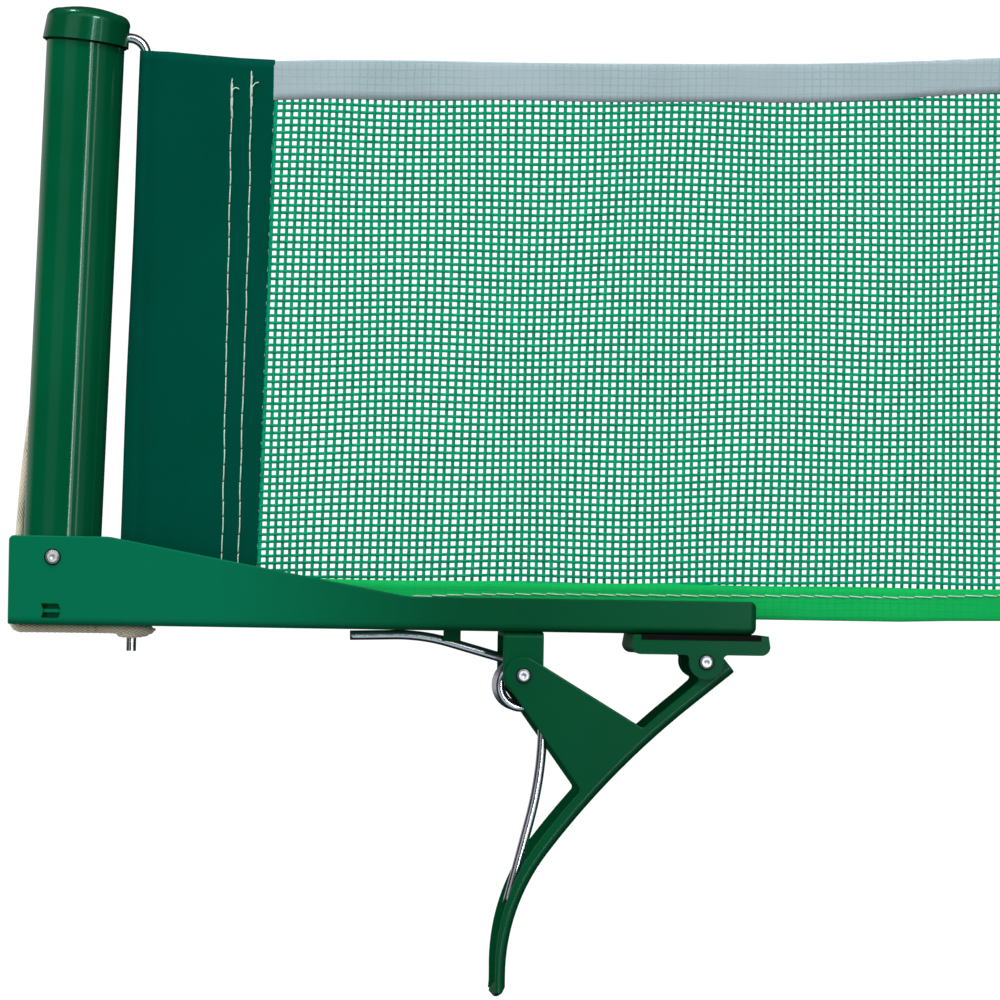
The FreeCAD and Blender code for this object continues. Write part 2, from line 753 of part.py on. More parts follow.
def hook_knot():
    """The cord's upper end, tied round the hook inside the post."""
    body = new_body("cord_hook_knot")
    sketch = new_sketch(body, "XY_Plane", "hook_knot_foot")
    circle(sketch, "hook_x", "0", "hook_knot_radius")
    pad(body, sketch, "hook_knot_height")
    fillet(body, "knot_round", lambda p, e: True)
    hole = new_sketch(body, "XY_Plane", "hook_knot_foot - 1")
    circle(hole, "hook_x", "0", "wire_radius + 0.06")
    pocket(body, hole, "hook_knot_height + 2", reversed_way=True)
    place(body)


# --- clevis, lever and pivots ---------------------------------------------------


def clevis_strap():
    body = new_body("clevis_strap")
    sketch = new_sketch(body, "XZ_Plane")
    outline(
        sketch,
        [
            ("pivot_x - clevis_round", "pivot_z", "-clevis_round"),
            ("pivot_x", "pivot_z - clevis_round", "-clevis_round"),
            ("pivot_x + clevis_round", "pivot_z"),
            ("pivot_x + clevis_round", "0"),
            ("pivot_x - clevis_round", "0"),
        ],
    )
    pad(body, sketch, "2 * clevis_half", symmetric=True)
    fillet(
        body,
        "clevis_bend",
        lambda p, e: near(abs(p.y), "clevis_half") and near(p.z, "0"),
    )
    inside = new_sketch(body, "YZ_Plane", "pivot_x - clevis_round - 1")
    half = "(clevis_half - clevis_steel)"
    rectangle(inside, f"-{half}", "pivot_z - clevis_round - 1", half, "-clevis_steel")
    pocket(body, inside, "2 * clevis_round + 2", reversed_way=True)
    round_rims(body, "clevis_half")
    hole = new_sketch(body, "XZ_Plane")
    circle(hole, "pivot_x", "pivot_z", "pivot_radius")
    pocket(body, hole, "2 * clevis_half + 2", symmetric=True)
    place(body)


def beside(x, z, slope, offset):
    """A point of the lever's profile, moved off the web's outer face."""
    return f"{x} - ({offset}) * sin({slope})", f"{z} + ({offset}) * cos({slope})"


def lever_stations(offset, handle_offset):
    """The lever's long profile at some distance inside the web's outer face."""
    arm = beside("arm_end_x", "arm_end_z", "arm_slope", offset)
    bow = beside("bow_start_x", "bow_start_z", "arm_slope", offset)
    mid = beside("bow_end_x", "bow_end_z", "bow_end_slope", offset)
    end = (f"handle_end_x - ({handle_offset})", "handle_end_z")
    return arm, bow, mid, end


def lever_strip(body):
    """The long strip of the lever, still solid, with its outer edges rounded."""
    arm, bow, mid, end = lever_stations("0", "0")
    arm_in, bow_in, mid_in, end_in = lever_stations("lever_depth", "handle_depth")
    arm_in = beside("arm_end_x", "arm_end_z", "arm_slope", "arm_end_depth")
    sketch = new_sketch(body, "XZ_Plane")
    outline(
        sketch,
        [
            arm,
            bow + ("-bow_radius",),
            mid + ("-handle_radius",),
            end,
            ("handle_end_x", "flange_end_z"),
            ("tip_x", "tip_z"),
            ("tip_x - lever_steel * 0.83", "tip_z + lever_steel * 0.55"),
            ("handle_end_x - handle_depth", "flange_end_z"),
            end_in + ("handle_radius + handle_depth",),
            mid_in + ("bow_radius + lever_depth",),
            bow_in,
            arm_in,
        ],
    )
    pad(body, sketch, "2 * lever_half", symmetric=True)
    profile = [V(value(x), 0, value(z)) for x, z in (arm, bow, mid, end)]

    def on_outer_edge(point, edge):
        if not near(abs(point.y), "lever_half"):
            return False
        ends = [V(v.Point.x, 0, v.Point.z) for v in edge.Vertexes]
        return all(min((p - q).Length for q in profile) < 0.05 for p in ends)

    fillet(body, "lever_bend", on_outer_edge)


def lever_plates(body):
    """The side plates that tie the channel to the main pivot, and the jaw's ears."""
    sketch = new_sketch(body, "XZ_Plane")
    pivot = V(value("pivot_x"), value("pivot_z"), 0)
    high = V(value("plate_top_x"), value("plate_top_z"), 0)
    low = V(value("plate_low_x"), value("plate_low_z"), 0)
    radius = value("boss_radius")
    right = tangent_point(pivot, radius, high, 1)
    left = tangent_point(pivot, radius, low, -1)
    angles = [math.atan2(p.y - pivot.y, p.x - pivot.x) for p in (right, left)]
    angles[1] += 2 * math.pi if angles[1] < angles[0] else 0
    ring = Part.Circle(pivot, V(0, 0, 1), radius)
    boss = sketch.addGeometry(Part.ArcOfCircle(ring, angles[0], angles[1]), False)
    top = sketch.addGeometry(Part.LineSegment(right, high), False)
    side = sketch.addGeometry(Part.LineSegment(left, low), False)
    back = sketch.addGeometry(Part.LineSegment(high, low), False)
    sketch.addConstraint(Sketcher.Constraint("Tangent", boss, 1, top, 1))
    sketch.addConstraint(Sketcher.Constraint("Tangent", boss, 2, side, 1))
    sketch.addConstraint(Sketcher.Constraint("Coincident", top, 2, back, 1))
    sketch.addConstraint(Sketcher.Constraint("Coincident", side, 2, back, 2))
    fix_point(sketch, boss, 3, ("pivot_x", "pivot_z"))
    fix_point(sketch, top, 2, ("plate_top_x", "plate_top_z"))
    fix_point(sketch, side, 2, ("plate_low_x", "plate_low_z"))
    index = sketch.addConstraint(Sketcher.Constraint("Radius", boss, radius))
    bind(sketch, f"Constraints[{index}]", "boss_radius")
    pad(body, sketch, "2 * lever_half", symmetric=True)
    jaw = new_sketch(body, "XZ_Plane")
    circle(jaw, "jaw_x", "jaw_z", "jaw_boss_radius")
    pad(body, jaw, "2 * lever_half", symmetric=True)
    round_corner(body, "3 * edge_round", "plate_top_x - 1", "plate_top_z + 1")
    round_corner(body, "3 * edge_round", "plate_low_x - 1", "plate_low_z + 1")
    round_corner(body, "3 * edge_round", "jaw_x", "jaw_z - jaw_boss_radius")
    round_rims(body, "lever_half")


def tangent_point(centre, radius, outside, side):
    """Where the tangent from a point outside a circle touches it."""
    to_point = outside - centre
    turn = side * math.acos(radius / to_point.Length)
    angle = math.atan2(to_point.y, to_point.x) + turn
    return centre + V(math.cos(angle), math.sin(angle), 0) * radius


def lever_channel():
    body = new_body("lever_channel")
    lever_strip(body)
    lever_plates(body)
    arm, bow, mid, end = lever_stations("lever_steel", "lever_steel")
    beyond = beside("arm_end_x", "arm_end_z", "arm_slope", "lever_steel")
    reach = "20"
    inside = new_sketch(body, "XZ_Plane")
    outline(
        inside,
        [
            (f"{beyond[0]} + {reach} * cos(arm_slope)", f"{beyond[1]} + {reach} * sin(arm_slope)"),
            bow + ("-(bow_radius + lever_steel)",),
            mid + ("-(handle_radius + lever_steel)",),
            end,
            ("handle_end_x - lever_steel", "flange_end_z"),
            ("tip_x - lever_steel * 0.83", "tip_z + lever_steel * 0.55"),
            (f"tip_x - {reach}", "tip_z"),
            (f"tip_x - {reach}", reach),
            ("arm_end_x", reach),
        ],
    )
    pocket(body, inside, "2 * (lever_half - lever_steel)", symmetric=True)
    round_handle(body)
    hole = new_sketch(body, "XZ_Plane")
    circle(hole, "pivot_x", "pivot_z", "pivot_radius + pivot_play")
    circle(hole, "jaw_x", "jaw_z", "pivot_radius")
    pocket(body, hole, "2 * lever_half + 2", symmetric=True)
    place(body)


def round_handle(body):
    """Round the end of the handle, as seen along the net."""
    drop = "(tip_radius - sqrt(tip_radius * tip_radius - lever_half * lever_half))"
    below = "tip_z - 5"
    sketch = new_sketch(body, "YZ_Plane", "tip_x - 10")
    outline(
        sketch,
        [
            ("-lever_half", f"tip_z + {drop}", "-tip_radius"),
            ("lever_half", f"tip_z + {drop}"),
            ("lever_half + 1", f"tip_z + {drop}"),
            ("lever_half + 1", below),
            ("-lever_half - 1", below),
            ("-lever_half - 1", f"tip_z + {drop}"),
        ],
    )
    pocket(body, sketch, "20", reversed_way=True)


# --- jaw -------------------------------------------------------------------------


def jaw_pad():
    body = new_body("jaw_pad")
    sketch = new_sketch(body, "XZ_Plane")
    cut = "pad_corner"
    outline(
        sketch,
        [
            ("pad_outer_end", f"pad_flange_level + {cut}", f"-{cut}"),
            (f"pad_outer_end + {cut}", "pad_flange_level"),
            (f"pad_inner_end - {cut}", "pad_flange_level", f"-{cut}"),
            ("pad_inner_end", f"pad_flange_level + {cut}"),
            ("pad_inner_end - 0.5", "pad_rim_level"),
            ("pad_inner_end - pad_rim", "pad_rim_level"),
            ("pad_inner_end - pad_rim", "pad_seat_level"),
            ("pad_outer_end + pad_rim", "pad_seat_level"),
            ("pad_outer_end + pad_rim", "pad_rim_level"),
            ("pad_outer_end + 0.5", "pad_rim_level"),
        ],
    )
    pad(body, sketch, "2 * pad_half", symmetric=True)
    ears = new_sketch(body, "XZ_Plane")
    circle(ears, "jaw_x", "jaw_z", "pad_ear_radius")
    pad(body, ears, "2 * pad_half", symmetric=True)
    for side in ("-", "+"):
        beside_ear = f"jaw_x {side} pad_ear_radius"
        round_corner(body, "3 * edge_round", beside_ear, "pad_flange_level")
    inside = new_sketch(body, "XZ_Plane")
    wall = "pad_steel"
    rectangle(
        inside,
        f"pad_outer_end + {wall}",
        "jaw_z - pad_ear_radius - 1",
        f"pad_inner_end - {wall}",
        f"pad_seat_level - {wall}",
    )
    pocket(body, inside, f"2 * (pad_half - {wall})", symmetric=True)
    hole = new_sketch(body, "XZ_Plane")
    circle(hole, "jaw_x", "jaw_z", "pivot_radius + pivot_play")
    pocket(body, hole, "2 * pad_half + 2", symmetric=True)
    place(body)


def jaw_liner():
    body = new_body("jaw_liner")
    sketch = new_sketch(body, "XZ_Plane")
    rectangle(
        sketch,
        "pad_outer_end + pad_rim",
        "pad_seat_level",
        "pad_inner_end - pad_rim",
        "-liner_gap",
    )
    pad(body, sketch, "2 * (pad_half - liner_inset)", symmetric=True)
    place(body)


# --- spring ----------------------------------------------------------------------


def torsion_spring():
    """One wire: an arm under the bracket, the coil round the main rivet, and an arm
    in the handle. The upper arm leaves the far end of the coil and the lower one the
    near end."""
    centre = V(value("coil_x"), 0, value("coil_z"))
    radius = value("coil_radius")
    pitch = value("coil_pitch")
    end_angle = math.radians(value("upper_arm_angle"))
    turns = value("coil_turns") + end_angle / (2 * math.pi)
    height = pitch * turns
    near_end = centre - Y_AXIS * (height / 2)
    helix = Part.makeHelix(pitch, height, radius, 0, True)
    helix.rotate(V(), X_AXIS, -90)
    helix.translate(near_end)
    edges = spring_lower_arm(near_end + X_AXIS * radius)
    edges += helix.Edges
    far_point = near_end + Y_AXIS * height
    far_point += V(math.cos(end_angle), 0, math.sin(end_angle)) * radius
    edges += spring_upper_arm(far_point, end_angle + math.pi / 2)
    path = Part.Wire(edges)
    start = path.OrderedVertexes[0].Point
    way = path.OrderedVertexes[1].Point - start
    section = Part.Wire([Part.makeCircle(value("wire_radius"), start, way)])
    solid = path.makePipeShell([section], True, True)
    if solid.Volume < 0:
        solid.reverse()
    check_wire("torsion_spring", solid, path.Length, value("wire_radius"))
    feature = doc.addObject("Part::Feature", "torsion_spring")
    feature.Label = "torsion_spring"
    feature.Shape = solid
    subparts.append(feature)
    place(feature)


def bent_arm(start, heading, run, radius, turn, end):
    """A straight run, one arc and a straight end in a plane across Y. Angles are
    measured from +X towards +Z."""
    way = V(math.cos(heading), 0, math.sin(heading))
    entry = start + way * run
    side = V(-math.sin(heading), 0, math.cos(heading)) * math.copysign(1, turn)
    hub = entry + side * radius

    def on_arc(angle):
        return hub + FreeCAD.Rotation(Y_AXIS, -math.degrees(angle)).multVec(entry - hub)

    leave = on_arc(turn)
    new_way = V(math.cos(heading + turn), 0, math.sin(heading + turn))
    return [
        Part.LineSegment(start, entry).toShape(),
        Part.Arc(entry, on_arc(turn / 2), leave).toShape(),
        Part.LineSegment(leave, leave + new_way * end).toShape(),
    ]


def spring_lower_arm(start):
    arm = bent_arm(
        start,
        -math.pi / 2,
        value("lower_arm_run"),
        value("lower_arm_bend"),
        -math.radians(value("lower_arm_turn")),
        value("lower_arm_end"),
    )
    return arm[::-1]


def spring_upper_arm(start, heading):
    return bent_arm(
        start,
        heading,
        value("upper_arm_run"),
        value("upper_arm_bend"),
        math.radians(value("upper_arm_turn")),
        value("upper_arm_end"),
    )


# --- net -------------------------------------------------------------------------


def slab(label, corners, half):
    body = new_body(label)
    sketch = new_sketch(body, "XZ_Plane")
    outline(sketch, corners)
    pad(body, sketch, f"2 * {half}", symmetric=True)
    place(body)
    return body


def at_height(foot, top, level):
    """Where a side of the sleeve, given by its foot and top, is at some height."""
    share = f"(({level} - net_foot) / (sleeve_inner_level - net_foot))"
    return f"({foot} + ({top} - {foot}) * {share})"


def net_sleeve():
    """The sewn pocket that slides on the rod, made as a flat band with a tube."""
    band = doc.addObject("Part::Feature", "sleeve_band")
    corners = [
        ("sleeve_outer_foot", "net_foot"),
        ("sleeve_inner_foot", "net_foot"),
        ("sleeve_inner_top", "sleeve_inner_level"),
        ("sleeve_outer_top", "sleeve_outer_level"),
    ]
    half = value("sleeve_half")
    points = [V(value(x), -half, value(z)) for x, z in corners]
    face = Part.Face(Part.makePolygon(points + points[:1]))
    foot = rod_point(value("net_foot"))
    top = rod_point(value("sleeve_inner_level"))
    way = top - foot
    tube = Part.makeCylinder(value("sleeve_tube"), way.Length, foot, way)
    below = foot - way.normalize() * 5
    bore = Part.makeCylinder(value("sleeve_bore"), way.Length + 200, below, way)
    band.Shape = face.extrude(Y_AXIS * 2 * half).fuse(tube).cut(bore).removeSplitter()
    band.Label = "net_sleeve"
    subparts.append(band)
    place(band)


def rod_point(level):
    """A point of the rod's straight leg at some height."""
    rise = (level + value("rod_foot_z")) / (value("hook_level") + value("rod_foot_z"))
    run = value("rod_top_x") - value("rod_foot_x")
    return V(value("rod_foot_x") + run * rise, 0, level)


def net_bands():
    hem_edge = at_height("sleeve_inner_foot", "sleeve_inner_top", "hem_top")
    tape_edge = at_height("sleeve_inner_foot", "sleeve_inner_top", "tape_near_foot")
    slab(
        "net_bottom_hem",
        [
            ("sleeve_inner_foot", "net_foot"),
            ("net_end_x", "net_foot"),
            ("net_end_x", "hem_top"),
            (hem_edge, "hem_top"),
        ],
        "band_half",
    )
    slab(
        "net_mesh",
        [
            (hem_edge, "hem_top"),
            ("net_end_x", "hem_top"),
            ("net_end_x", "tape_far_foot"),
            ("tape_knee_x", "tape_knee_foot"),
            (tape_edge, "tape_near_foot"),
        ],
        "mesh_half",
    )
    slab(
        "net_top_tape",
        [
            (tape_edge, "tape_near_foot"),
            ("tape_knee_x", "tape_knee_foot"),
            ("net_end_x", "tape_far_foot"),
            ("net_end_x", "tape_far_top"),
            ("tape_knee_x", "tape_knee_top"),
            ("sleeve_inner_top", "tape_near_top"),
        ],
        "band_half",
    )
    slab(
        "net_end_sleeve",
        [
            ("net_end_x", "net_foot"),
            ("net_end_x + sleeve_width", "net_foot"),
            ("net_end_x + sleeve_width", "tape_far_top"),
            ("net_end_x", "tape_far_top"),
        ],
        "sleeve_half",
    )


# --- assembly --------------------------------------------------------------------


def check_document():
    doc.recompute()
    for thing in doc.Objects:
        if "Invalid" in thing.State or "Error" in thing.State:
            raise ValueError(f"{thing.Name} is {thing.State}")
    for thing in subparts:
        if thing.Shape.isNull() or not thing.Shape.isValid():
            raise ValueError(f"{thing.Label} has no valid shape")
        if len(thing.Shape.Solids) != 1:
            raise ValueError(f"{thing.Label} has {len(thing.Shape.Solids)} solids")


def main():
    bracket_channel()
    clevis_strap()
    post_tube()
    post_cap()
    rivet(
        "post_rivet",
        post_point("post_rivet_x", "post_rivet_z")[0],
        post_point("post_rivet_x", "post_rivet_z")[1],
        "post_rivet_radius",
        "post_rivet_head",
        "bracket_half",
    )
    rivet("main_pivot_rivet", "pivot_x", "pivot_z", "pivot_radius", "pivot_head",
          "(lever_half + pivot_play)")
    rivet("jaw_rivet", "jaw_x", "jaw_z", "pivot_radius", "pivot_head",
          "(pad_half + pivot_play)")
    lever_channel()
    jaw_pad()
    jaw_liner()
    torsion_spring()
    net_rod()
    tension_cord()
    cord_knot()
    hook_knot()
    net_sleeve()
    net_bands()
    check_document()
    os.makedirs("parts", exist_ok=True)
    for thing in subparts:
        thing.Shape.exportStep(f"parts/{thing.Label}.step")
    print(len(subparts), "sub-parts written")


main()
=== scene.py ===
"""Looks of the table tennis net clamp: cloth, net, cord, spring, finishes and light."""
import json
import math

import bpy
import numpy as np
from mathutils import Matrix, Vector
from mathutils.bvhtree import BVHTree


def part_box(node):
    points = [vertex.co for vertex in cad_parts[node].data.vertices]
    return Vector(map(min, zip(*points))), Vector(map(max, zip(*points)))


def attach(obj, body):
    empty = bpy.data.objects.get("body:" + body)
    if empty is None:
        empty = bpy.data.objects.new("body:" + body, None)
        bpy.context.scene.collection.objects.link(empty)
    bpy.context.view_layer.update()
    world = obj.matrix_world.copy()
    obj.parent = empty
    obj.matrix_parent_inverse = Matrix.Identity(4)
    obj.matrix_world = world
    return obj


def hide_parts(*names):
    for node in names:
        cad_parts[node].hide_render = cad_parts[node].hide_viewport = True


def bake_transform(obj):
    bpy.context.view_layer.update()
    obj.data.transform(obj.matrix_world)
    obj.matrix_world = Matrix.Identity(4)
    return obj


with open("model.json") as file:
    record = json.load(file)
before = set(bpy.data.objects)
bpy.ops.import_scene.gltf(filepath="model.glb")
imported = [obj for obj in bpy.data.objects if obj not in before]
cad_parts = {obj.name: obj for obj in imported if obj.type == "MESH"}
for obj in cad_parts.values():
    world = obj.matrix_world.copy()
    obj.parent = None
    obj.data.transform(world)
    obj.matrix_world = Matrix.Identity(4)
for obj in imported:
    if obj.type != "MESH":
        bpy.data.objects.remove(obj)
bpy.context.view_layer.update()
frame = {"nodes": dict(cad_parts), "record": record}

POST_TO_EDGE = 152.5  # mm from the post's foot to the table's edge, the frame's origin


def at(x, y, z):
    """A point given in mm from the foot of the post, in the frame, in metres."""
    return Vector(((x - POST_TO_EDGE) / 1000, y / 1000, z / 1000))


# --- node helpers ------------------------------------------------------------------


class Nodes:
    """A material under construction, with short calls for the nodes it needs."""

    def __init__(self, name, colour, roughness, metallic=0.0, **constants):
        self.material = bpy.data.materials.new(name)
        self.material.use_nodes = True
        self.tree = self.material.node_tree
        self.shader = self.tree.nodes["Principled BSDF"]
        self.shader.inputs["Base Color"].default_value = (*colour, 1)
        self.shader.inputs["Roughness"].default_value = roughness
        self.shader.inputs["Metallic"].default_value = metallic
        for socket, value in constants.items():
            self.shader.inputs[socket.replace("_", " ")].default_value = value
        self.place = self.add("ShaderNodeTexCoord").outputs["Object"]
        self.material.diffuse_color = (*colour, 1)

    def add(self, kind, **settings):
        node = self.tree.nodes.new(kind)
        for key, value in settings.items():
            setattr(node, key, value)
        return node

    def link(self, source, target):
        self.tree.links.new(source, target)

    def scaled(self, scale):
        node = self.add("ShaderNodeMapping")
        node.inputs["Scale"].default_value = scale
        self.link(self.place, node.inputs["Vector"])
        return node.outputs["Vector"]

    def parts_of_place(self):
        """X, Y and Z of the place, as three outputs."""
        split = self.add("ShaderNodeSeparateXYZ")
        self.link(self.place, split.inputs[0])
        return split.outputs

    def noise(self, scale, detail=3.0, vector=None):
        """Noise from 0 to 1, with about scale lumps to the metre."""
        node = self.add("ShaderNodeTexNoise")
        node.inputs["Scale"].default_value = scale
        node.inputs["Detail"].default_value = detail
        node.inputs["Roughness"].default_value = 0.55
        self.link(vector or self.place, node.inputs["Vector"])
        return node.outputs["Fac"]

    def math(self, operation, *values):
        node = self.add("ShaderNodeMath", operation=operation)
        for index, value in enumerate(values):
            if isinstance(value, (int, float)):
                node.inputs[index].default_value = value
            else:
                self.link(value, node.inputs[index])
        return node.outputs[0]

    def ramp(self, factor, low, high, first=0.3, last=0.7):
        """A value that goes from low to high as the factor goes from first to last."""
        node = self.add("ShaderNodeMapRange")
        for key, value in zip(("From Min", "From Max", "To Min", "To Max"),
                              (first, last, low, high)):
            node.inputs[key].default_value = value
        self.link(factor, node.inputs["Value"])
        return node.outputs["Result"]

    def blend(self, factor, one, other):
        """Two colours mixed; each is a colour or the output of another node."""
        node = self.add("ShaderNodeMix", data_type="RGBA")
        self.link(factor, node.inputs["Factor"])
        for socket, colour in ((6, one), (7, other)):
            if isinstance(colour, tuple):
                node.inputs[socket].default_value = (*colour, 1)
            else:
                self.link(colour, node.inputs[socket])
        return node.outputs[2]

    def colour(self, source):
        self.link(source, self.shader.inputs["Base Color"])

    def rough(self, source):
        self.link(source, self.shader.inputs["Roughness"])

    def bump(self, height, strength, distance):
        """One more layer of relief, on top of those the material already has."""
        node = self.add("ShaderNodeBump")
        node.inputs["Strength"].default_value = strength
        node.inputs["Distance"].default_value = distance
        self.link(height, node.inputs["Height"])
        earlier = self.shader.inputs["Normal"].links
        if earlier:
            self.link(earlier[0].from_socket, node.inputs["Normal"])
        self.link(node.outputs["Normal"], self.shader.inputs["Normal"])

    def weave(self, pitch):
        """Plain weave: threads of one set over and under the other, as a height."""
        x, _, z = self.parts_of_place()
        wave = math.pi / pitch
        across = self.math("SINE", self.math("MULTIPLY", x, wave))
        along = self.math("SINE", self.math("MULTIPLY", z, wave))
        product = self.math("MULTIPLY", across, along)
        ribs = self.math("ADD", self.math("ABSOLUTE", across), self.math("ABSOLUTE", along))
        return self.math("ADD", self.math("MULTIPLY", product, 0.5), ribs)


def tint(colour, share):
    """The same colour made lighter (share above 1) or darker."""
    return tuple(min(1.0, channel * share) for channel in colour)


def varied(make, colour, factor, darker, lighter):
    """The colour from darker to lighter by turns, as a noise goes up and down."""
    return make.blend(make.ramp(factor, 0, 1), tint(colour, darker), tint(colour, lighter))


# --- finishes ----------------------------------------------------------------------


PAINT_TINT = (0.15, 1.0, 0.75, 1.0)  # the green cast of what the paint reflects
CLOTH_TINT = (0.1, 1.0, 0.8, 1.0)
# Between these x, in metres, the painted light at the bracket's outboard end fades out.
PAINTED_LIGHT_FROM, PAINTED_LIGHT_TO = -0.11, -0.045  # x in metres, along the bracket


def enamel(name, colour, matt=0.4, coat=0.15, haze=0.14, lit_end_colour=None, drawn=False):
    """Sprayed green enamel: slight orange peel, heavier and darker in places.

    matt is the paint's own roughness, haze the coat's. A colour for the outboard end,
    if given, is painted light: that end lighter, as if more light fell on it, fading out
    along the bracket. drawn adds the long marks of drawn tube that show through the coat.
    """
    make = Nodes(name, colour, matt, Coat_Weight=coat, Coat_Roughness=haze,
                 Specular_IOR_Level=0.07, Specular_Tint=PAINT_TINT)
    drift = make.noise(26, 2)
    paint = make.blend(make.ramp(drift, 0, 1, 0.35, 0.65), tint(colour, 0.92),
                       tint(colour, 1.08))
    # Painted light: lighter towards the bracket's outboard end, as if more light fell there.
    if lit_end_colour:
        share = make.ramp(make.parts_of_place()["X"], 1, 0, PAINTED_LIGHT_FROM,
                          PAINTED_LIGHT_TO)
        paint = make.blend(share, paint, lit_end_colour)
    make.colour(paint)
    make.rough(make.ramp(make.noise(500, 2), matt - 0.03, matt + 0.05))
    make.bump(make.noise(620, 2), 0.02, 0.0002)
    make.bump(drift, 0.12, 0.0006)
    if drawn:
        long_marks = make.noise(450, 2, vector=make.scaled((1, 1, 0.04)))
        make.bump(long_marks, 0.5, 0.0003)
    return make.material


def plated_wire(name, colour):
    """Bright plated wire: slightly uneven, hazier in places."""
    make = Nodes(name, colour, 0.05, metallic=1.0)
    haze = make.noise(110, 2)
    make.rough(make.ramp(haze, 0.19, 0.25))
    make.colour(varied(make, colour, make.noise(70), 0.9, 1.0))
    make.bump(haze, 0.05, 0.0003)
    return make.material


def rivet_metal(name, colour):
    """A pressed rivet head, a little duller than the wire."""
    make = Nodes(name, colour, 0.26, metallic=1.0)
    wear = make.noise(700, 3)
    make.rough(make.ramp(wear, 0.34, 0.46))
    make.colour(varied(make, colour, wear, 0.85, 1.0))
    make.bump(make.noise(2400, 2), 0.05, 0.0001)
    return make.material


def moulded_plastic(name, colour):
    """Shiny moulded plastic with a skin that is not quite flat."""
    make = Nodes(name, colour, 0.24, Specular_IOR_Level=0.2, Coat_Weight=0.3,
                 Coat_Roughness=0.07, Specular_Tint=PAINT_TINT)
    make.colour(varied(make, colour, make.noise(40), 0.92, 1.06))
    make.rough(make.ramp(make.noise(1300, 2), 0.2, 0.32))
    make.bump(make.noise(1700, 2), 0.05, 0.0001)
    make.bump(make.noise(150, 2), 0.12, 0.0004)
    return make.material


def rubber(name, colour):
    """Dull black rubber with a fine grain."""
    make = Nodes(name, colour, 0.7, Specular_IOR_Level=0.06)
    grain = make.noise(2600, 3)
    make.colour(varied(make, colour, grain, 0.7, 1.6))
    make.rough(make.ramp(grain, 0.6, 0.85))
    make.bump(grain, 0.3, 0.0002)
    return make.material


def cloth(name, colour, pitch):
    """Woven cloth: thread by thread relief, painted shade between threads, uneven dye, soft
    sheen.
    """
    make = Nodes(name, colour, 0.78, Sheen_Weight=0.03, Sheen_Roughness=0.5,
                 Sheen_Tint=(0.05, 1.0, 0.8, 1.0), Specular_IOR_Level=0.04,
                 Specular_Tint=CLOTH_TINT)
    threads = make.weave(pitch)
    dye = varied(make, colour, make.noise(32, 3), 0.92, 1.08)
    # Painted shade: darker where the weave is low, between the threads.
    make.colour(make.blend(make.ramp(threads, 0, 1, 0.0, 1.6), tint(colour, 0.8), dye))
    make.rough(make.ramp(make.noise(900), 0.7, 0.88))
    make.bump(threads, 0.25, 0.00006)
    make.bump(make.noise(210, 3), 0.18, 0.0004)
    return make.material


def see_through_tape(name, colour, under, rise, share):
    """Thin tape, through which the net folded inside it shows as a faint grid.

    under is the colour where the net shows, share how much of it shows, and rise the
    slope of the net's rows.
    """
    make = Nodes(name, colour, 0.66, Sheen_Weight=0.02, Specular_IOR_Level=0.08)
    x, _, z = make.parts_of_place()
    wobble = make.math("MULTIPLY", make.noise(60, 2), 0.0012)
    column = make.math("ADD", x, wobble)
    level = make.math("ADD", z, make.math("MULTIPLY", x, -rise))
    row = make.math("ADD", level, wobble)
    lines = []
    for along, pitch in ((column, 0.0021), (row, 0.00194)):
        turn = make.math("MULTIPLY", along, 2 * math.pi / pitch)
        lines.append(make.ramp(make.math("COSINE", turn), 0, 1, 0.72, 1.0))
    grid = make.math("MAXIMUM", *lines)
    patchy = make.ramp(make.noise(24, 2), 0.15, 1.0, 0.4, 0.62)
    seen = make.math("MULTIPLY", make.math("MULTIPLY", grid, patchy), share)
    body = varied(make, colour, make.noise(45), 0.94, 1.05)
    make.colour(make.blend(seen, body, under))
    make.rough(make.ramp(make.noise(700), 0.56, 0.76))
    make.bump(make.weave(0.00032), 0.2, 0.00005)
    make.bump(grid, 0.25, 0.00012)
    return make.material


def cord_weave(name, light, crevice_shade):
    """Braided cord: the mesh's depth between the strands sets painted shade in the crevices.
    """
    make = Nodes(name, light, 0.8, Sheen_Weight=0.1, Specular_IOR_Level=0.1)
    depth = make.add("ShaderNodeAttribute", attribute_name="strand").outputs["Fac"]
    dirt = make.ramp(make.noise(160, 4), 0.0, 0.45)
    base = make.blend(dirt, light, tint(light, 0.72))
    # Painted shade: deep between the strands the cord is painted dark.
    make.colour(make.blend(make.ramp(depth, 1, 0, 0.15, 0.6), base, crevice_shade))
    make.bump(make.noise(4200, 2), 0.35, 0.0001)
    return make.material


def plastic_thread(name, colour):
    """Net yarn: smooth plastic-coated thread, lighter and darker from knot to knot."""
    make = Nodes(name, colour, 0.5, Specular_IOR_Level=0.12,
                 Specular_Tint=(0.2, 1.0, 0.8, 1.0))
    make.colour(varied(make, colour, make.noise(420, 2), 0.74, 1.3))
    make.rough(make.ramp(make.noise(900), 0.4, 0.62))
    make.bump(make.noise(2600, 2), 0.15, 0.0001)
    return make.material


def sewing_thread(name, colour):
    """Pale twisted thread."""
    make = Nodes(name, colour, 0.6, Sheen_Weight=0.2)
    make.colour(varied(make, colour, make.noise(700), 0.72, 1.0))
    make.bump(make.noise(5200, 1), 0.3, 0.0001)
    return make.material


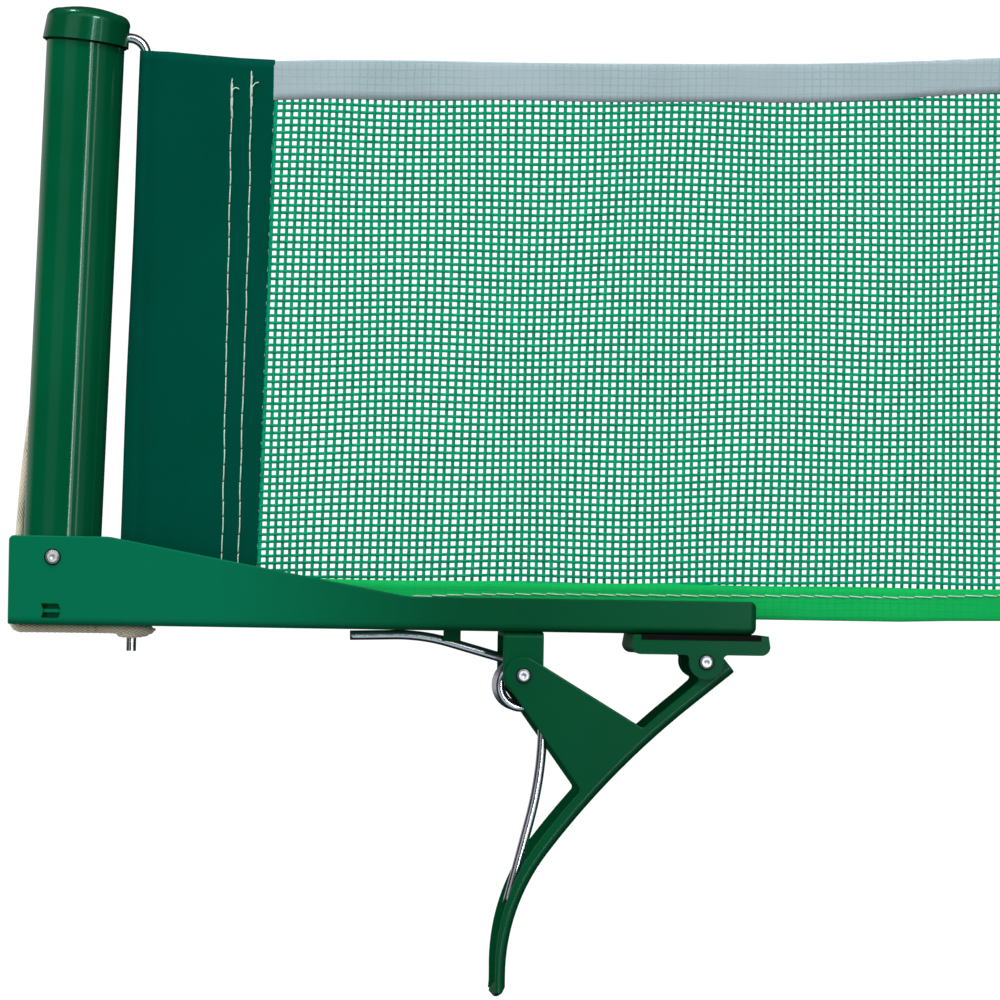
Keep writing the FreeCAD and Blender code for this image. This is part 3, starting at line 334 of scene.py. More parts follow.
finishes = {
    # Painted light: a lighter green at the bracket's outboard end.
    "bracket_paint": enamel("BracketEnamel", (0.0, 0.058, 0.0185),
                            lit_end_colour=(0.0, 0.133, 0.061)),
    "post_paint": enamel("PostEnamel", (0.0, 0.078, 0.03), matt=0.12, coat=0.5, haze=0.05,
                         drawn=True),
    "lever_paint": enamel("LeverEnamel", (0.0, 0.056, 0.018)),
    "cap_plastic": moulded_plastic("CapPlastic", (0.0, 0.061, 0.021)),
    "chrome_wire": plated_wire("PlatedWire", (0.74, 0.78, 0.86)),
    "rivet_steel": rivet_metal("RivetSteel", (0.56, 0.59, 0.62)),
    "liner_rubber": rubber("LinerRubber", (0.0022, 0.0024, 0.0026)),
    "sleeve_fabric": cloth("SleeveCloth", (0.0, 0.06, 0.038), 0.0005),
    "hem_fabric": see_through_tape("HemTape", (0.0, 0.38, 0.08), (0.0, 0.27, 0.06),
                                   0.0, 0.35),
    "tape_fabric": see_through_tape("HeadTape", (0.33, 0.42, 0.455), (0.16, 0.30, 0.29),
                                    0.0168, 0.42),
    "mesh_fabric": plastic_thread("NetYarn", (0.0, 0.262, 0.128)),
    "cord_fabric": cord_weave("CordBraid", (0.66, 0.61, 0.47), (0.07, 0.06, 0.042)),
}
stitch_finish = sewing_thread("StitchThread", (0.50, 0.70, 0.60))

slot_of = {entry["node"]: entry["material_slot"] for entry in frame["record"]["subparts"]}
for name, node in frame["nodes"].items():
    for slot in node.material_slots:
        slot.material = finishes[slot_of[name]]


# --- mesh helpers ------------------------------------------------------------------


def new_object(name, vertices, faces, material, body="frame"):
    """A smooth mesh object that rides on a body; with body None it rides on none yet."""
    mesh = bpy.data.meshes.new(name)
    mesh.from_pydata([tuple(v) for v in vertices], [], faces)
    mesh.validate()
    mesh.update()
    mesh.polygons.foreach_set("use_smooth", [True] * len(mesh.polygons))
    mesh.materials.append(material)
    piece = bpy.data.objects.new(name, mesh)
    bpy.context.scene.collection.objects.link(piece)
    if body:
        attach(piece, body)
    return piece


def frames_along(points):
    """A side vector and a second one at each point, carried along without twist."""
    points = np.asarray(points, float)
    ways = np.gradient(points, axis=0)
    ways /= np.linalg.norm(ways, axis=1)[:, None]
    seed = np.array([0, 1, 0]) if abs(ways[0][1]) < 0.9 else np.array([1, 0, 0])
    side = seed - ways[0] * (seed @ ways[0])
    sides = []
    for way in ways:
        side = side - way * (side @ way)
        side /= np.linalg.norm(side)
        sides.append(side)
    sides = np.array(sides)
    return sides, np.cross(ways, sides)


def skin(rings, count):
    """Faces between rings of vertices, each ring with the same count, and both ends."""
    faces = []
    for step in range(rings - 1):
        for k in range(count):
            a, b = step * count + k, step * count + (k + 1) % count
            faces.append((a, b, b + count, a + count))
    last = (rings - 1) * count
    return faces + [tuple(reversed(range(count))), tuple(range(last, last + count))]


def tube(points, across, deep, count):
    """Vertices and faces of a closed tube; across and deep are its half sizes."""
    points = np.asarray(points, float)
    sides, others = frames_along(points)
    turns = np.arange(count) * 2 * math.pi / count
    ring = (np.cos(turns)[None, :, None] * across * sides[:, None, :]
            + np.sin(turns)[None, :, None] * deep * others[:, None, :])
    vertices = (points[:, None, :] + ring).reshape(-1, 3)
    return vertices, skin(len(points), count)


def joined(parts):
    """Several (vertices, faces) as one."""
    vertices, faces, shift = [], [], 0
    for some, more in parts:
        vertices.extend(some)
        faces.extend(tuple(index + shift for index in face) for face in more)
        shift += len(some)
    return vertices, faces


def spline_points(controls, name, resolution):
    """The points of a smooth spline led by a route in mm."""
    curve = bpy.data.curves.new(name, "CURVE")
    curve.dimensions = "3D"
    curve.resolution_u = resolution
    spline = curve.splines.new("NURBS")
    spline.points.add(len(controls) - 1)
    for point, control in zip(spline.points, controls):
        point.co = (*at(*control), 1)
    spline.order_u = 3
    spline.use_endpoint_u = True
    holder = bpy.data.objects.new(name, curve)
    mesh = bpy.data.meshes.new_from_object(holder)
    points = [vertex.co.copy() for vertex in mesh.vertices]
    bpy.data.objects.remove(holder)
    bpy.data.meshes.remove(mesh)
    return points


def soft_wave(x, z, seed):
    """A smooth uneven surface between about -1 and 1; x and z in mm."""
    a, b, c, d = (seed * k % 6.28 for k in (1.7, 2.9, 4.3, 5.9))
    return (0.38 * math.sin(x / 19 + a + 0.8 * math.sin(z / 31 + b))
            + 0.30 * math.sin(z / 27 + c + 0.6 * math.sin(x / 23 + d))
            + 0.20 * math.sin((x + 0.6 * z) / 11 + d)
            + 0.12 * math.sin((x - 0.8 * z) / 7.3 + a))


def lerp(x, stations):
    """Straight interpolation in a list of (x, value)."""
    return float(np.interp(x, *zip(*stations)))


def dips(x, centres, depth, width):
    """The sum of small dips round some places along the net."""
    return sum(depth * math.exp(-((x - centre) / width) ** 2) for centre in centres)


def solid_cloth(name, rows, thickness, material):
    """A sheet from rows of points, given a thickness outwards, as a closed mesh."""
    width = len(rows[0])
    vertices = [point for row in rows for point in row]
    faces = [(r * width + c, r * width + c + 1, (r + 1) * width + c + 1, (r + 1) * width + c)
             for r in range(len(rows) - 1) for c in range(width - 1)]
    piece = new_object(name, vertices, faces, material, body=None)
    shell = piece.modifiers.new("Thickness", "SOLIDIFY")
    shell.thickness = thickness
    shell.offset = 1.0
    shell.use_even_offset = True
    graph = bpy.context.evaluated_depsgraph_get()
    baked = bpy.data.meshes.new_from_object(piece.evaluated_get(graph))
    old = piece.data
    piece.modifiers.clear()
    piece.data = baked
    bpy.data.meshes.remove(old)
    baked.polygons.foreach_set("use_smooth", [True] * len(baked.polygons))
    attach(piece, "frame")
    return piece


# --- the net's shape, in mm from the foot of the post ---------------------------------

NET_FOOT = 4.2
HEM_TOP = 13.2
NET_START = 53.4  # where the first column of threads stands
NET_END = 258.0
COLUMN_PITCH = 2.105
ROW_PITCH = 1.94
ROW_RISE = 0.0168  # how much the rows climb for each mm along the net
SLEEVE_HEIGHT = 147.4
FOLD_GAP = 0.48  # half the hollow inside a folded tape
SLEEVE_TOP = ((19.7, 153.3), (27.6, 153.2), (35.6, 152.6), (46.4, 151.9), (55.6, 151.6))
TAPE_TOP = ((54, 151.7), (58, 151.8), (70, 152.3), (116, 152.6), (170, 153.1), (196, 153.9),
            (223, 155.0), (247, 156.3), (258, 156.9))
TAPE_FOOT = ((54, 140.7), (58, 140.8), (70, 141.5), (116, 142.0), (170, 142.6), (196, 143.1),
             (223, 144.5), (247, 146.6), (258, 147.3))
HEM_FOOT = ((50, 3.8), (226, 3.8), (239, 4.2), (258, 4.5))


def sleeve_edge(z):
    """The inner edge of the sleeve at some height."""
    return 52.7 + 3.0 * (z - NET_FOOT) / SLEEVE_HEIGHT


def net_depth(x, z):
    """How far the net stands out of its plane: least where it is sewn or pulled flat."""
    grip = min(1.0, (x - 50) / 26, (262 - x) / 20)
    top = 1 - min(1.0, max(0.0, (z - 120) / 34)) * 0.55
    foot = min(1.0, max(0.15, (z - 2) / 22))
    return 1.1 * max(0.0, grip) * top * foot * soft_wave(x, z, 2.0)


# --- net ---------------------------------------------------------------------------


def net_crossing(column, row):
    """The x and z where a column and a row of the net meet.

    The columns lean with the sleeve at the start and stand upright at the far end. Both
    sets wander a little, less at the ends, where they are sewn.
    """
    x_foot = NET_START + column * COLUMN_PITCH
    share = min(1.0, max(0.0, (x_foot - 53) / 205))
    lean = 0.0204 * (1 - share) ** 0.8
    z = 9.6 + row * ROW_PITCH + ROW_RISE * (x_foot - 53)
    x = x_foot + lean * (z - NET_FOOT)
    drift = (0.42 * math.sin(x / 17 + 1.6 * math.sin(z / 40))
             + 0.22 * math.sin(x / 6.1 + z / 33))
    drift *= min(1.0, max(0.0, (x - 54) / 12), max(0.0, (257 - x) / 12))
    droop = 0.26 * math.sin(x / 15 + z / 37) + 0.18 * math.sin(x / 8.3 - z / 23)
    return x + drift, z + droop


OVER = 0.1  # how far a yarn goes over and under the ones it crosses
TUCKED = 2.2  # how far the net goes on inside the tape and the hem
OUTSIDE = (0.0, 0.0)  # a place outside the net, which closes each line's last run


def inside_net(x, z):
    """True where the net is seen, or tucked into the tape, hem or sleeves."""
    low, high = HEM_TOP - TUCKED, lerp(x, TAPE_FOOT) + TUCKED
    return low <= z <= high and sleeve_edge(z) - 1.4 <= x <= NET_END + 1.2


def net_yarns(lines, turn, across, deep):
    """A tube for each unbroken run of each line; across and deep are half sizes in mm."""
    made = []
    for number, line in enumerate(lines):
        run = []
        for step, (x, z) in enumerate([*line, OUTSIDE]):
            if inside_net(x, z):
                over = OVER * turn * (1 if (number + step) % 2 else -1)
                run.append(at(x, net_depth(x, z) + over, z))
                continue
            if len(run) > 2:
                made.append(tube(run, deep / 1000, across / 1000, 6))
            run = []
    return made


def selvedge():
    """The doubled yarn along the sleeve, where the net was cut."""
    line = []
    for level in range(96):
        z = HEM_TOP - 2 + level * 1.4
        if z < lerp(56, TAPE_FOOT) + 2:
            x = sleeve_edge(z) + 0.35 + 0.12 * math.sin(level * 1.9)
            line.append(at(x, net_depth(x, z) + OVER * (-1) ** level, z))
    return tube(line, 0.00024, 0.00044, 6)


def build_net():
    """All the net's yarns, upright and level ones over and under by turns."""
    columns = int((NET_END - NET_START) / COLUMN_PITCH) + 1
    upright = [[net_crossing(column, row) for row in range(-4, 76)]
               for column in range(-1, columns + 1)]
    level = list(zip(*upright))
    parts = net_yarns(upright, 1, 0.51, 0.26) + net_yarns(level, -1, 0.47, 0.24)
    parts.append(selvedge())
    vertices, faces = joined(parts)
    piece = new_object("NetYarns", vertices, faces, finishes["mesh_fabric"])
    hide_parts("net_mesh")
    return piece


# --- sleeve, tape and hem ----------------------------------------------------------


SLEEVE_CLOTH = 0.00034  # the cloths' thicknesses, in metres
TAPE_CLOTH = 0.00026
END_SLEEVE_WIDTH = 36.0  # mm


def sleeve_hollow(x, left, rod):
    """Half of the hollow inside the sleeve: a fold, a bulge at the rod, then flat."""
    reach = min(1.0, max(0.0, x - left))
    fold = math.sqrt(1 - (1 - reach) ** 2)
    bulge = 1.08 * math.exp(-((x - rod) / 1.75) ** 2) if rod else 0.0
    return fold * (0.42 + bulge)


def sleeve_rows(left_at, right_at, rod_at, top_at, seed):
    """Rows of points of a doubled band, from its open edge round the fold and back.

    The fold is at left_at(z), the open edge at right_at(z), and rod_at(z) is the rod's
    x, or 0 without a rod. The points stand closer together near both edges.
    """
    shares = [(1 - math.cos(math.pi * k / 26)) / 2 for k in range(27)]
    rows = []
    for level in range(61):
        share = level / 60
        z_mid = NET_FOOT + share * 147
        left, right, rod = left_at(z_mid), right_at(z_mid), rod_at(z_mid)
        row = []
        for face, steps in ((-1, shares[::-1]), (1, shares[1:])):
            for step in steps:
                x = left + (right - left) * step
                z = NET_FOOT + share * (top_at(x) - NET_FOOT)
                calm = min(1.0, (x - left) / 5, (right - x) / 3 + 0.25)
                if rod:
                    calm *= 1 - 0.85 * math.exp(-((x - rod) / 3.2) ** 2)
                wave = 0.24 * max(0.0, calm) * soft_wave(x * 1.3, z, seed + 0.5 * face)
                row.append(at(x, face * sleeve_hollow(x, left, rod) + wave, z))
        rows.append(row)
    return rows


def build_sleeve():
    def left_at(z):
        return 16.0 + 3.7 * (z - NET_FOOT) / SLEEVE_HEIGHT + 0.12 * math.sin(z / 13)

    def rod_at(z):
        return 19.85 + (z + 6.8) * 1.7 / 164.6

    rows = sleeve_rows(left_at, sleeve_edge, rod_at, lambda x: lerp(x, SLEEVE_TOP), 1.0)
    piece = solid_cloth("SleeveCloth", rows, SLEEVE_CLOTH, finishes["sleeve_fabric"])
    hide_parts("net_sleeve")
    return piece


def build_end_sleeve():
    """The band that ends this short run of net, just past what the camera sees."""
    rows = sleeve_rows(lambda z: NET_END + END_SLEEVE_WIDTH - 0.3, lambda z: NET_END,
                       lambda z: 0, lambda x: 156.0, 3.0)
    rows = [row[::-1] for row in rows]  # the fold is on the other side, so turn the faces
    piece = solid_cloth("EndSleeveCloth", rows, SLEEVE_CLOTH, finishes["sleeve_fabric"])
    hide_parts("net_end_sleeve")
    return piece


# Across a folded tape, from its open edge to its fold: how far up, and how wide open.
FOLD_PROFILE = ((0.0, 1.0), (0.2, 1.0), (0.45, 1.0), (0.7, 1.0), (0.88, 0.95),
                (0.96, 0.75), (0.99, 0.42), (1.0, 0.0))
PUCKERS = (231.5, 236.0, 241.5)  # where the tape's thread pulls it in


def band_rows(x_from, open_at, fold_at):
    """A tape folded lengthwise over an edge of the net, with a row about every mm."""
    x_to = NET_END - 0.1
    count = int(x_to - x_from) + 1
    rows = []
    for number in range(count):
        x = x_from + (x_to - x_from) * number / (count - 1)
        open_edge, fold = open_at(x), fold_at(x)
        row = []
        for face, steps in ((-1, FOLD_PROFILE), (1, FOLD_PROFILE[-2::-1])):
            for share, wide in steps:
                z = open_edge + (fold - open_edge) * share
                row.append(at(x, net_depth(x, z) + face * FOLD_GAP * wide, z))
        rows.append(row)
    return rows


def build_tape():
    def top(x):
        return lerp(x, TAPE_TOP) + 0.1 * math.sin(x / 12) - dips(x, PUCKERS, 0.16, 1.3) - 0.3

    def foot(x):
        return lerp(x, TAPE_FOOT) + 0.12 * math.sin(x / 9 + 1) + dips(x, PUCKERS, 0.2, 1.1)

    piece = solid_cloth("HeadTape", band_rows(55.4, foot, top), TAPE_CLOTH,
                        finishes["tape_fabric"])
    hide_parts("net_top_tape")


def build_hem():
    def top(x):
        return HEM_TOP + 0.1 * math.sin(x / 8)

    def foot(x):
        return lerp(x, HEM_FOOT) + 0.3

    rows = [row[::-1] for row in band_rows(52.9, top, foot)]  # fold down, so turn the faces
    piece = solid_cloth("FootHem", rows, TAPE_CLOTH, finishes["hem_fabric"])
    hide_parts("net_bottom_hem")
    return piece


# --- sewing ------------------------------------------------------------------------


STITCH = 4.3  # mm
STITCH_RADIUS = 0.00019
TAIL_RADIUS = 0.00017


def stitch(start, end, lift, sway):
    """One stitch of thread: it stands out by lift, and dives into the cloth at its ends."""
    out = Vector((0, math.copysign(1, lift), 0))
    points = []
    for share in (0.0, 0.12, 0.35, 0.65, 0.88, 1.0):
        rise = abs(lift) * (1 - (2 * share - 1) ** 4)
        sideways = Vector((sway * math.sin(math.pi * share), 0, 0))
        points.append(start.lerp(end, share) + out * rise + sideways)
    return tube(points, STITCH_RADIUS, STITCH_RADIUS, 6)


def row_of_stitches(line, length, gap, face_at, lift, slant=0.0):
    """Stitches along a line of (x, z) points in mm; face_at gives the cloth's y.

    Their lengths vary a little, and each wanders a little off the line.
    """
    across, up = zip(*line)
    gone = [0.0]
    for one, other in zip(line, line[1:]):
        gone.append(gone[-1] + math.dist(one, other))
    total = gone[-1]
    made, here, number = [], 0.0, 0
    while here < total - 0.3 * length:
        long = length * (1 + 0.14 * math.sin(number * 2.3))
        ends = []
        for mark, rise in ((here, slant), (min(total, here + long), -slant)):
            x = float(np.interp(mark, gone, across)) + 0.09 * math.sin(mark * 1.7)
            z = float(np.interp(mark, gone, up)) + rise
            ends.append(at(x, face_at(x, z), z))
        made.append(stitch(*ends, lift, 0.00006 * math.sin(number * 1.9)))
        here += long + gap
        number += 1
    return made


def cloth_surface(piece, face):
    """A function that finds the y, in mm, of a cloth's outer face at some x and z."""
    mesh = piece.data
    tree = BVHTree.FromPolygons([v.co for v in mesh.vertices],
                                [tuple(p.vertices) for p in mesh.polygons])

    def find(x, z):
        origin = at(x, face * 20, z)
        hit = tree.ray_cast(origin, Vector((0, -face, 0)))[0]
        return (hit.y if hit else 0.0) * 1000

    return find


def loose_tail(x_from, z_from, rise, find, face):
    """The end of a thread, which stands away from the cloth."""
    tail = []
    for step in range(7):
        share = step / 6
        x = x_from + 0.2 + 1.75 * share
        z = z_from + rise * share + 0.35 * math.sin(4 * share)
        tail.append(at(x, find(x, z) + face * (0.25 + 0.3 * share), z))
    return tube(tail, TAIL_RADIUS, TAIL_RADIUS, 6)


# The sleeve's two rows of stitches: x at the foot, x and z at the top, the length that
# is sewn over again to lock the thread, and the loose tail's drop and rise.
SLEEVE_SEAMS = (
    (43.6, 44.25, 146.2, 10.6, 2.9, 0.5),
    (47.9, 49.45, 148.4, 9.4, 4.4, 1.7),
)
END_SEAMS = (264.0, 269.0)
HEM_SEAM = ((54.5, 8.0), (92, 8.7), (110, 9.6), (129, 10.0), (172, 10.2), (199, 10.6),
            (226, 10.6), (247, 11.4), (256.5, 11.6))


def sleeve_seam(seam, find, face):
    """One row of stitches, its locked end and its loose tail."""
    foot_x, top_x, top_z, locked, drop, rise = seam
    lift = 0.0002 * face
    line = [(foot_x, 6.0), (foot_x + 0.3 * (top_x - foot_x), 50.0), (top_x - 0.1, 105.0),
            (top_x, top_z)]
    made = row_of_stitches(line, STITCH, 0.35, find, lift)
    line = [(top_x + 0.28, top_z - locked), (top_x + 0.1, top_z - 1.2)]
    made += row_of_stitches(line, 2.7, 0.1, find, lift * 2.2)
    line = [(top_x - 0.12, top_z - locked * 0.8), (top_x, top_z)]
    made += row_of_stitches(line, 3.3, 0.1, find, lift * 1.6)
    made.append(loose_tail(top_x, top_z - drop, rise, find, face))
    return made


def build_sewing(sleeve, end_sleeve, hem):
    made = []
    for face in (-1, 1):
        find = cloth_surface(sleeve, face)
        for seam in SLEEVE_SEAMS:
            made += sleeve_seam(seam, find, face)
        find = cloth_surface(end_sleeve, face)
        for x in END_SEAMS:
            line = [(x, 6.5), (x + 0.2, 80), (x, 153.5)]
            made += row_of_stitches(line, STITCH, 0.35, find, 0.0002 * face)
    piece = new_object("SleeveStitches", *joined(made), stitch_finish)

    made = []
    for face in (-1, 1):
        find = cloth_surface(hem, face)
        made += row_of_stitches(HEM_SEAM, STITCH, 0.2, find, 0.00016 * face, 0.17)
    piece = new_object("HemStitches", *joined(made), stitch_finish)


# --- cord --------------------------------------------------------------------------

CORD_RADIUS = 0.0012
STRANDS = 8
LAY = 0.012  # how far a strand runs along the cord in one turn
FRAYED = 0.0055  # the length over which the knot's end thins out

# From the hook inside the post's top, out and down behind the post, then round the
# bracket's end and under it.
CORD_ROUTE = (
    (7.5, 3.25, 150.9),
    (7.9, 9.2, 147.6),
    (8.0, 12.5, 146.0),
    (6.5, 12.35, 138.0),
    (4.16, 12.4, 126.4),
    (0.33, 11.95, 105.6),
    (-3.3, 10.65, 84.7),
    (-6.5, 8.6, 63.9),
    (-9.05, 5.85, 43.0),
    (-10.6, 3.1, 20.0),
    (-11.5, 0.5, 4.0),
    (-11.7, 0.0, -1.2),
    (-6.5, 0.0, -1.12),
    (4.0, 0.0, -1.1),
    (15.3, 0.0, -1.1),
)
# Twice round the rod's foot, and out at the side.
KNOT_ROUTE = (
    (14.0, 0.0, -1.1),
    (15.6, -2.6, -1.15),
    (19.4, -3.6, -1.2),
    (24.2, -3.0, -1.15),
    (25.2, 0.8, -1.2),
    (20.4, 3.2, -1.3),
    (16.6, 1.4, -1.9),
    (17.4, -2.6, -2.15),
    (21.4, -3.4, -2.15),
    (24.4, -0.4, -1.6),
    (21.2, 2.4, -2.1),
    (17.2, -0.6, -1.6),
    (18.8, -3.6, -1.9),
    (22.6, -3.4, -1.5),
    (26.2, -1.2, -1.0),
)
# Twice round the rod's hook, inside the post.
HOOK_KNOT_ROUTE = (
    (7.5, 3.6, 150.8),
    (9.9, 2.9, 150.4),
    (10.7, 0.0, 150.2),
    (9.4, -2.7, 150.4),
    (6.2, -2.8, 150.9),
    (4.6, -0.4, 151.6),
    (5.8, 2.6, 152.4),
    (9.4, 2.7, 152.6),
    (10.6, -0.2, 152.4),
    (9.2, -2.6, 152.0),
)


def braided(points, taper):
    """A tube whose skin rises and falls as two sets of strands cross.

    Over the last length called taper the cord thins out to its frayed end. The third
    result is the skin's height at each vertex, from 0 to 1.
    """
    count = 32
    points = np.array([tuple(p) for p in points])
    sides, others = frames_along(points)
    steps = np.linalg.norm(np.diff(points, axis=0), axis=1)
    gone = np.concatenate([[0], np.cumsum(steps)])
    turns = np.arange(count) * 2 * math.pi / count
    twist = 2 * math.pi * gone[:, None] / LAY
    one = np.sin(STRANDS / 2 * (turns[None, :] + twist))
    two = np.sin(STRANDS / 2 * (turns[None, :] - twist))
    height = np.sqrt(np.abs(one) * np.abs(two))
    size = CORD_RADIUS * (0.72 + 0.28 * height)
    if taper:
        left = np.minimum(1, (gone[-1] - gone) / taper)
        size = size * (0.3 + 0.7 * left)[:, None]
    ring = (np.cos(turns)[None, :, None] * sides[:, None, :]
            + np.sin(turns)[None, :, None] * others[:, None, :])
    vertices = points[:, None, :] + ring * size[:, :, None]
    return vertices.reshape(-1, 3), skin(len(points), count), height.reshape(-1)


def braided_piece(name, route, node, taper=0.0):
    """A braided piece along a route in mm, with the skin's height kept for its shading."""
    points = spline_points(route, name + "Line", 56)
    vertices, faces, height = braided(points, taper)
    piece = new_object(name, vertices, faces, finishes["cord_fabric"])
    attribute = piece.data.attributes.new("strand", "FLOAT", "POINT")
    low, high = float(height.min()), float(height.max())
    values = ((height - low) / (high - low)).astype(np.float32)
    attribute.data.foreach_set("value", values)
    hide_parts(node)
    return piece, points


def build_cord():
    knot, _ = braided_piece("CordKnot", KNOT_ROUTE, "cord_knot", FRAYED)
    hook, _ = braided_piece("HookKnot", HOOK_KNOT_ROUTE, "cord_hook_knot")
    cord, points = braided_piece("TensionCord", CORD_ROUTE, "tension_cord")
    length = sum((b - a).length for a, b in zip(points, points[1:]))
    print("tension cord", round(length * 1000, 1), "mm")
    tuple(points[0])
    [tuple(p) for p in points]


# --- rivets ------------------------------------------------------------------------


def groove_shadow():
    """Nearly black, for narrow gaps that the light doesn't reach."""
    make = Nodes("GrooveShadow", (0.002, 0.006, 0.004), 0.8, Specular_IOR_Level=0.05)
    shade_mottle = make.noise(900, 3)
    # Painted shade, a little uneven in how dark it is.
    make.colour(make.blend(make.ramp(shade_mottle, 0, 1), (0.001, 0.004, 0.003),
                           (0.004, 0.014, 0.009)))
    make.bump(shade_mottle, 0.2, 0.0001)
    return make.material


# Each ring's name, its rivet, the body whose plate it lies on, and that plate's face.
RIVET_RINGS = (
    ("PostRing", "post_rivet", "frame", 0.012),
    ("PivotRing", "main_pivot_rivet", "lever", 0.0123),
    ("JawRing", "jaw_rivet", "jaw", 0.0137),
)


def build_rivet_rings(shadow):
    """Painted shade in the thin groove in the paint round each rivet head, on both sides."""
    count = 40
    for name, node, body, half in RIVET_RINGS:
        low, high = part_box(node)
        x, z = (low[0] + high[0]) / 2, (low[2] + high[2]) / 2
        head = (high[0] - low[0]) / 2
        vertices, faces = [], []
        for face in (-1, 1):
            start = len(vertices)
            for radius, rise in ((head - 0.0001, 0.00002), (head + 0.0003, 0.00005),
                                 (head + 0.00038, 0.00001)):
                for k in range(count):
                    turn = 2 * math.pi * k / count
                    vertices.append((x + radius * math.cos(turn), face * (half + rise),
                                     z + radius * math.sin(turn)))
            for ring in range(2):
                for k in range(count):
                    a, b = start + ring * count + k, start + ring * count + (k + 1) % count
                    loop = (a, b, b + count, a + count)
                    faces.append(loop if face < 0 else loop[::-1])
        piece = new_object(name, vertices, faces, shadow, body)


RIM_TILT = math.radians(6.3)
RIM_RADIUS = 10.68
RIM_MIDDLE = (5.15, 154.95)  # x and z of the rim's middle
RIM_DROP = 0.24  # the shadow lies this far under it


def build_rim_shadow(shadow):
    """The dark line under the tilted rim of the post's cap."""
    ring = []
    for step in range(65):
        turn = 2 * math.pi * step / 64
        out = RIM_RADIUS * math.cos(turn)
        ring.append(at(
            RIM_MIDDLE[0] + out * math.cos(RIM_TILT) - RIM_DROP * math.sin(RIM_TILT),
            RIM_RADIUS * math.sin(turn),
            RIM_MIDDLE[1] - out * math.sin(RIM_TILT) - RIM_DROP * math.cos(RIM_TILT)))
    piece = new_object("RimShadow", *tube(ring, 0.00026, 0.00026, 8), shadow)


# --- spring ------------------------------------------------------------------------


COIL_X, COIL_Z = 123.8, -14.4
COIL_RADIUS = 5.7
COIL_PITCH = 2.66
COIL_END = math.radians(74.5)  # how far round the last part turn goes
COIL_TURNS = 6 + COIL_END / (2 * math.pi)
COIL_HALF = COIL_PITCH * COIL_TURNS / 2
WIRE_RADIUS = 0.0013


def spring_arm(x, y, z, heading, run, bend, turn, tail):
    """Points of a straight run, a bend and a straight tail, away from the coil.

    heading is the way the run goes, bend the bend's radius and turn how far it turns.
    """
    made = [(x + math.cos(heading) * d, y, z + math.sin(heading) * d)
            for d in np.linspace(0.5, run, 14)]
    x, _, z = made[-1]
    side = math.copysign(1, turn)
    hub_x = x - side * bend * math.sin(heading)
    hub_z = z + side * bend * math.cos(heading)
    for step in range(1, 15):
        angle = heading + turn * step / 14
        made.append((hub_x + side * bend * math.sin(angle), y,
                     hub_z - side * bend * math.cos(angle)))
    x, _, z = made[-1]
    heading += turn
    made += [(x + math.cos(heading) * d, y, z + math.sin(heading) * d)
             for d in np.linspace(1, tail, 10)]
    return made


def build_spring():
    """One wire: an arm in the lever, the coil on the rivet, an arm under the bracket."""
    lower = spring_arm(COIL_X + COIL_RADIUS, -COIL_HALF, COIL_Z, -math.pi / 2, 10.6, 102.0,
                       -math.radians(14.2), 23.0)
    coil = []
    steps = int(COIL_TURNS * 48)
    for step in range(steps + 1):
        angle = 2 * math.pi * COIL_TURNS * step / steps
        coil.append((COIL_X + COIL_RADIUS * math.cos(angle),
                     -COIL_HALF + COIL_PITCH * COIL_TURNS * step / steps,
                     COIL_Z + COIL_RADIUS * math.sin(angle)))
    upper = spring_arm(*coil[-1], COIL_END + math.pi / 2, 20.8, 50.0, math.radians(17.0),
                       12.0)
    line = [at(*point) for point in lower[::-1] + coil + upper]
    vertices, faces = tube(line, WIRE_RADIUS, WIRE_RADIUS, 56)
    piece = new_object("SpringWire", vertices, faces, finishes["chrome_wire"], body=None)
    for face in piece.data.polygons:
        if len(face.vertices) > 4:  # the wire's two cut ends are flat
            face.use_smooth = False
    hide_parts("torsion_spring")
    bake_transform(piece)


# --- light and camera --------------------------------------------------------------


BRACKET, CAP, BRACKET_FOOT = (-0.1, 0, 0.05), (-0.14, 0, 0.16), (-0.15, 0, 0.03)

# Seen only in reflections: name, place, target, width, height and power. The strips
# make the long highlights on the post and wire, the sparks those on the cap.
MIRRORED_LIGHTS = (
    ("StripMain", (0.53, -2.0, 0.15), BRACKET, 0.4, 1.6, 7),
    ("StripCore", (0.43, -1.99, 0.15), BRACKET, 0.07, 1.6, 6),
    ("StripSide", (1.45, -2.0, 0.15), BRACKET, 0.2, 1.6, 3),
    ("SparkFront", (0.42, -1.18, 0.85), CAP, 0.34, 0.34, 12),
    ("SparkTop", (-0.65, 0.17, 1.66), CAP, 0.3, 0.25, 9),
)
# These shade the object and don't show in reflections.
SHADING_LIGHTS = (
    ("SoftLeft", (-1.4, -1.2, 0.5), BRACKET_FOOT, 0.9, 1.2, 13),
    ("SoftTop", (0.2, -0.9, 1.6), (0, 0, 0), 1.2, 0.35, 16),
)


def area_light(name, place, target, width, height, power):
    data = bpy.data.lights.new(name, "AREA")
    data.shape = "RECTANGLE"
    data.size, data.size_y = width, height
    data.energy = power
    lamp = bpy.data.objects.new(name, data)
    bpy.context.scene.collection.objects.link(lamp)
    lamp.location = place
    way = Vector(target) - Vector(place)
    lamp.rotation_mode = "QUATERNION"
    lamp.rotation_quaternion = way.to_track_quat("-Z", "Y")
    return lamp


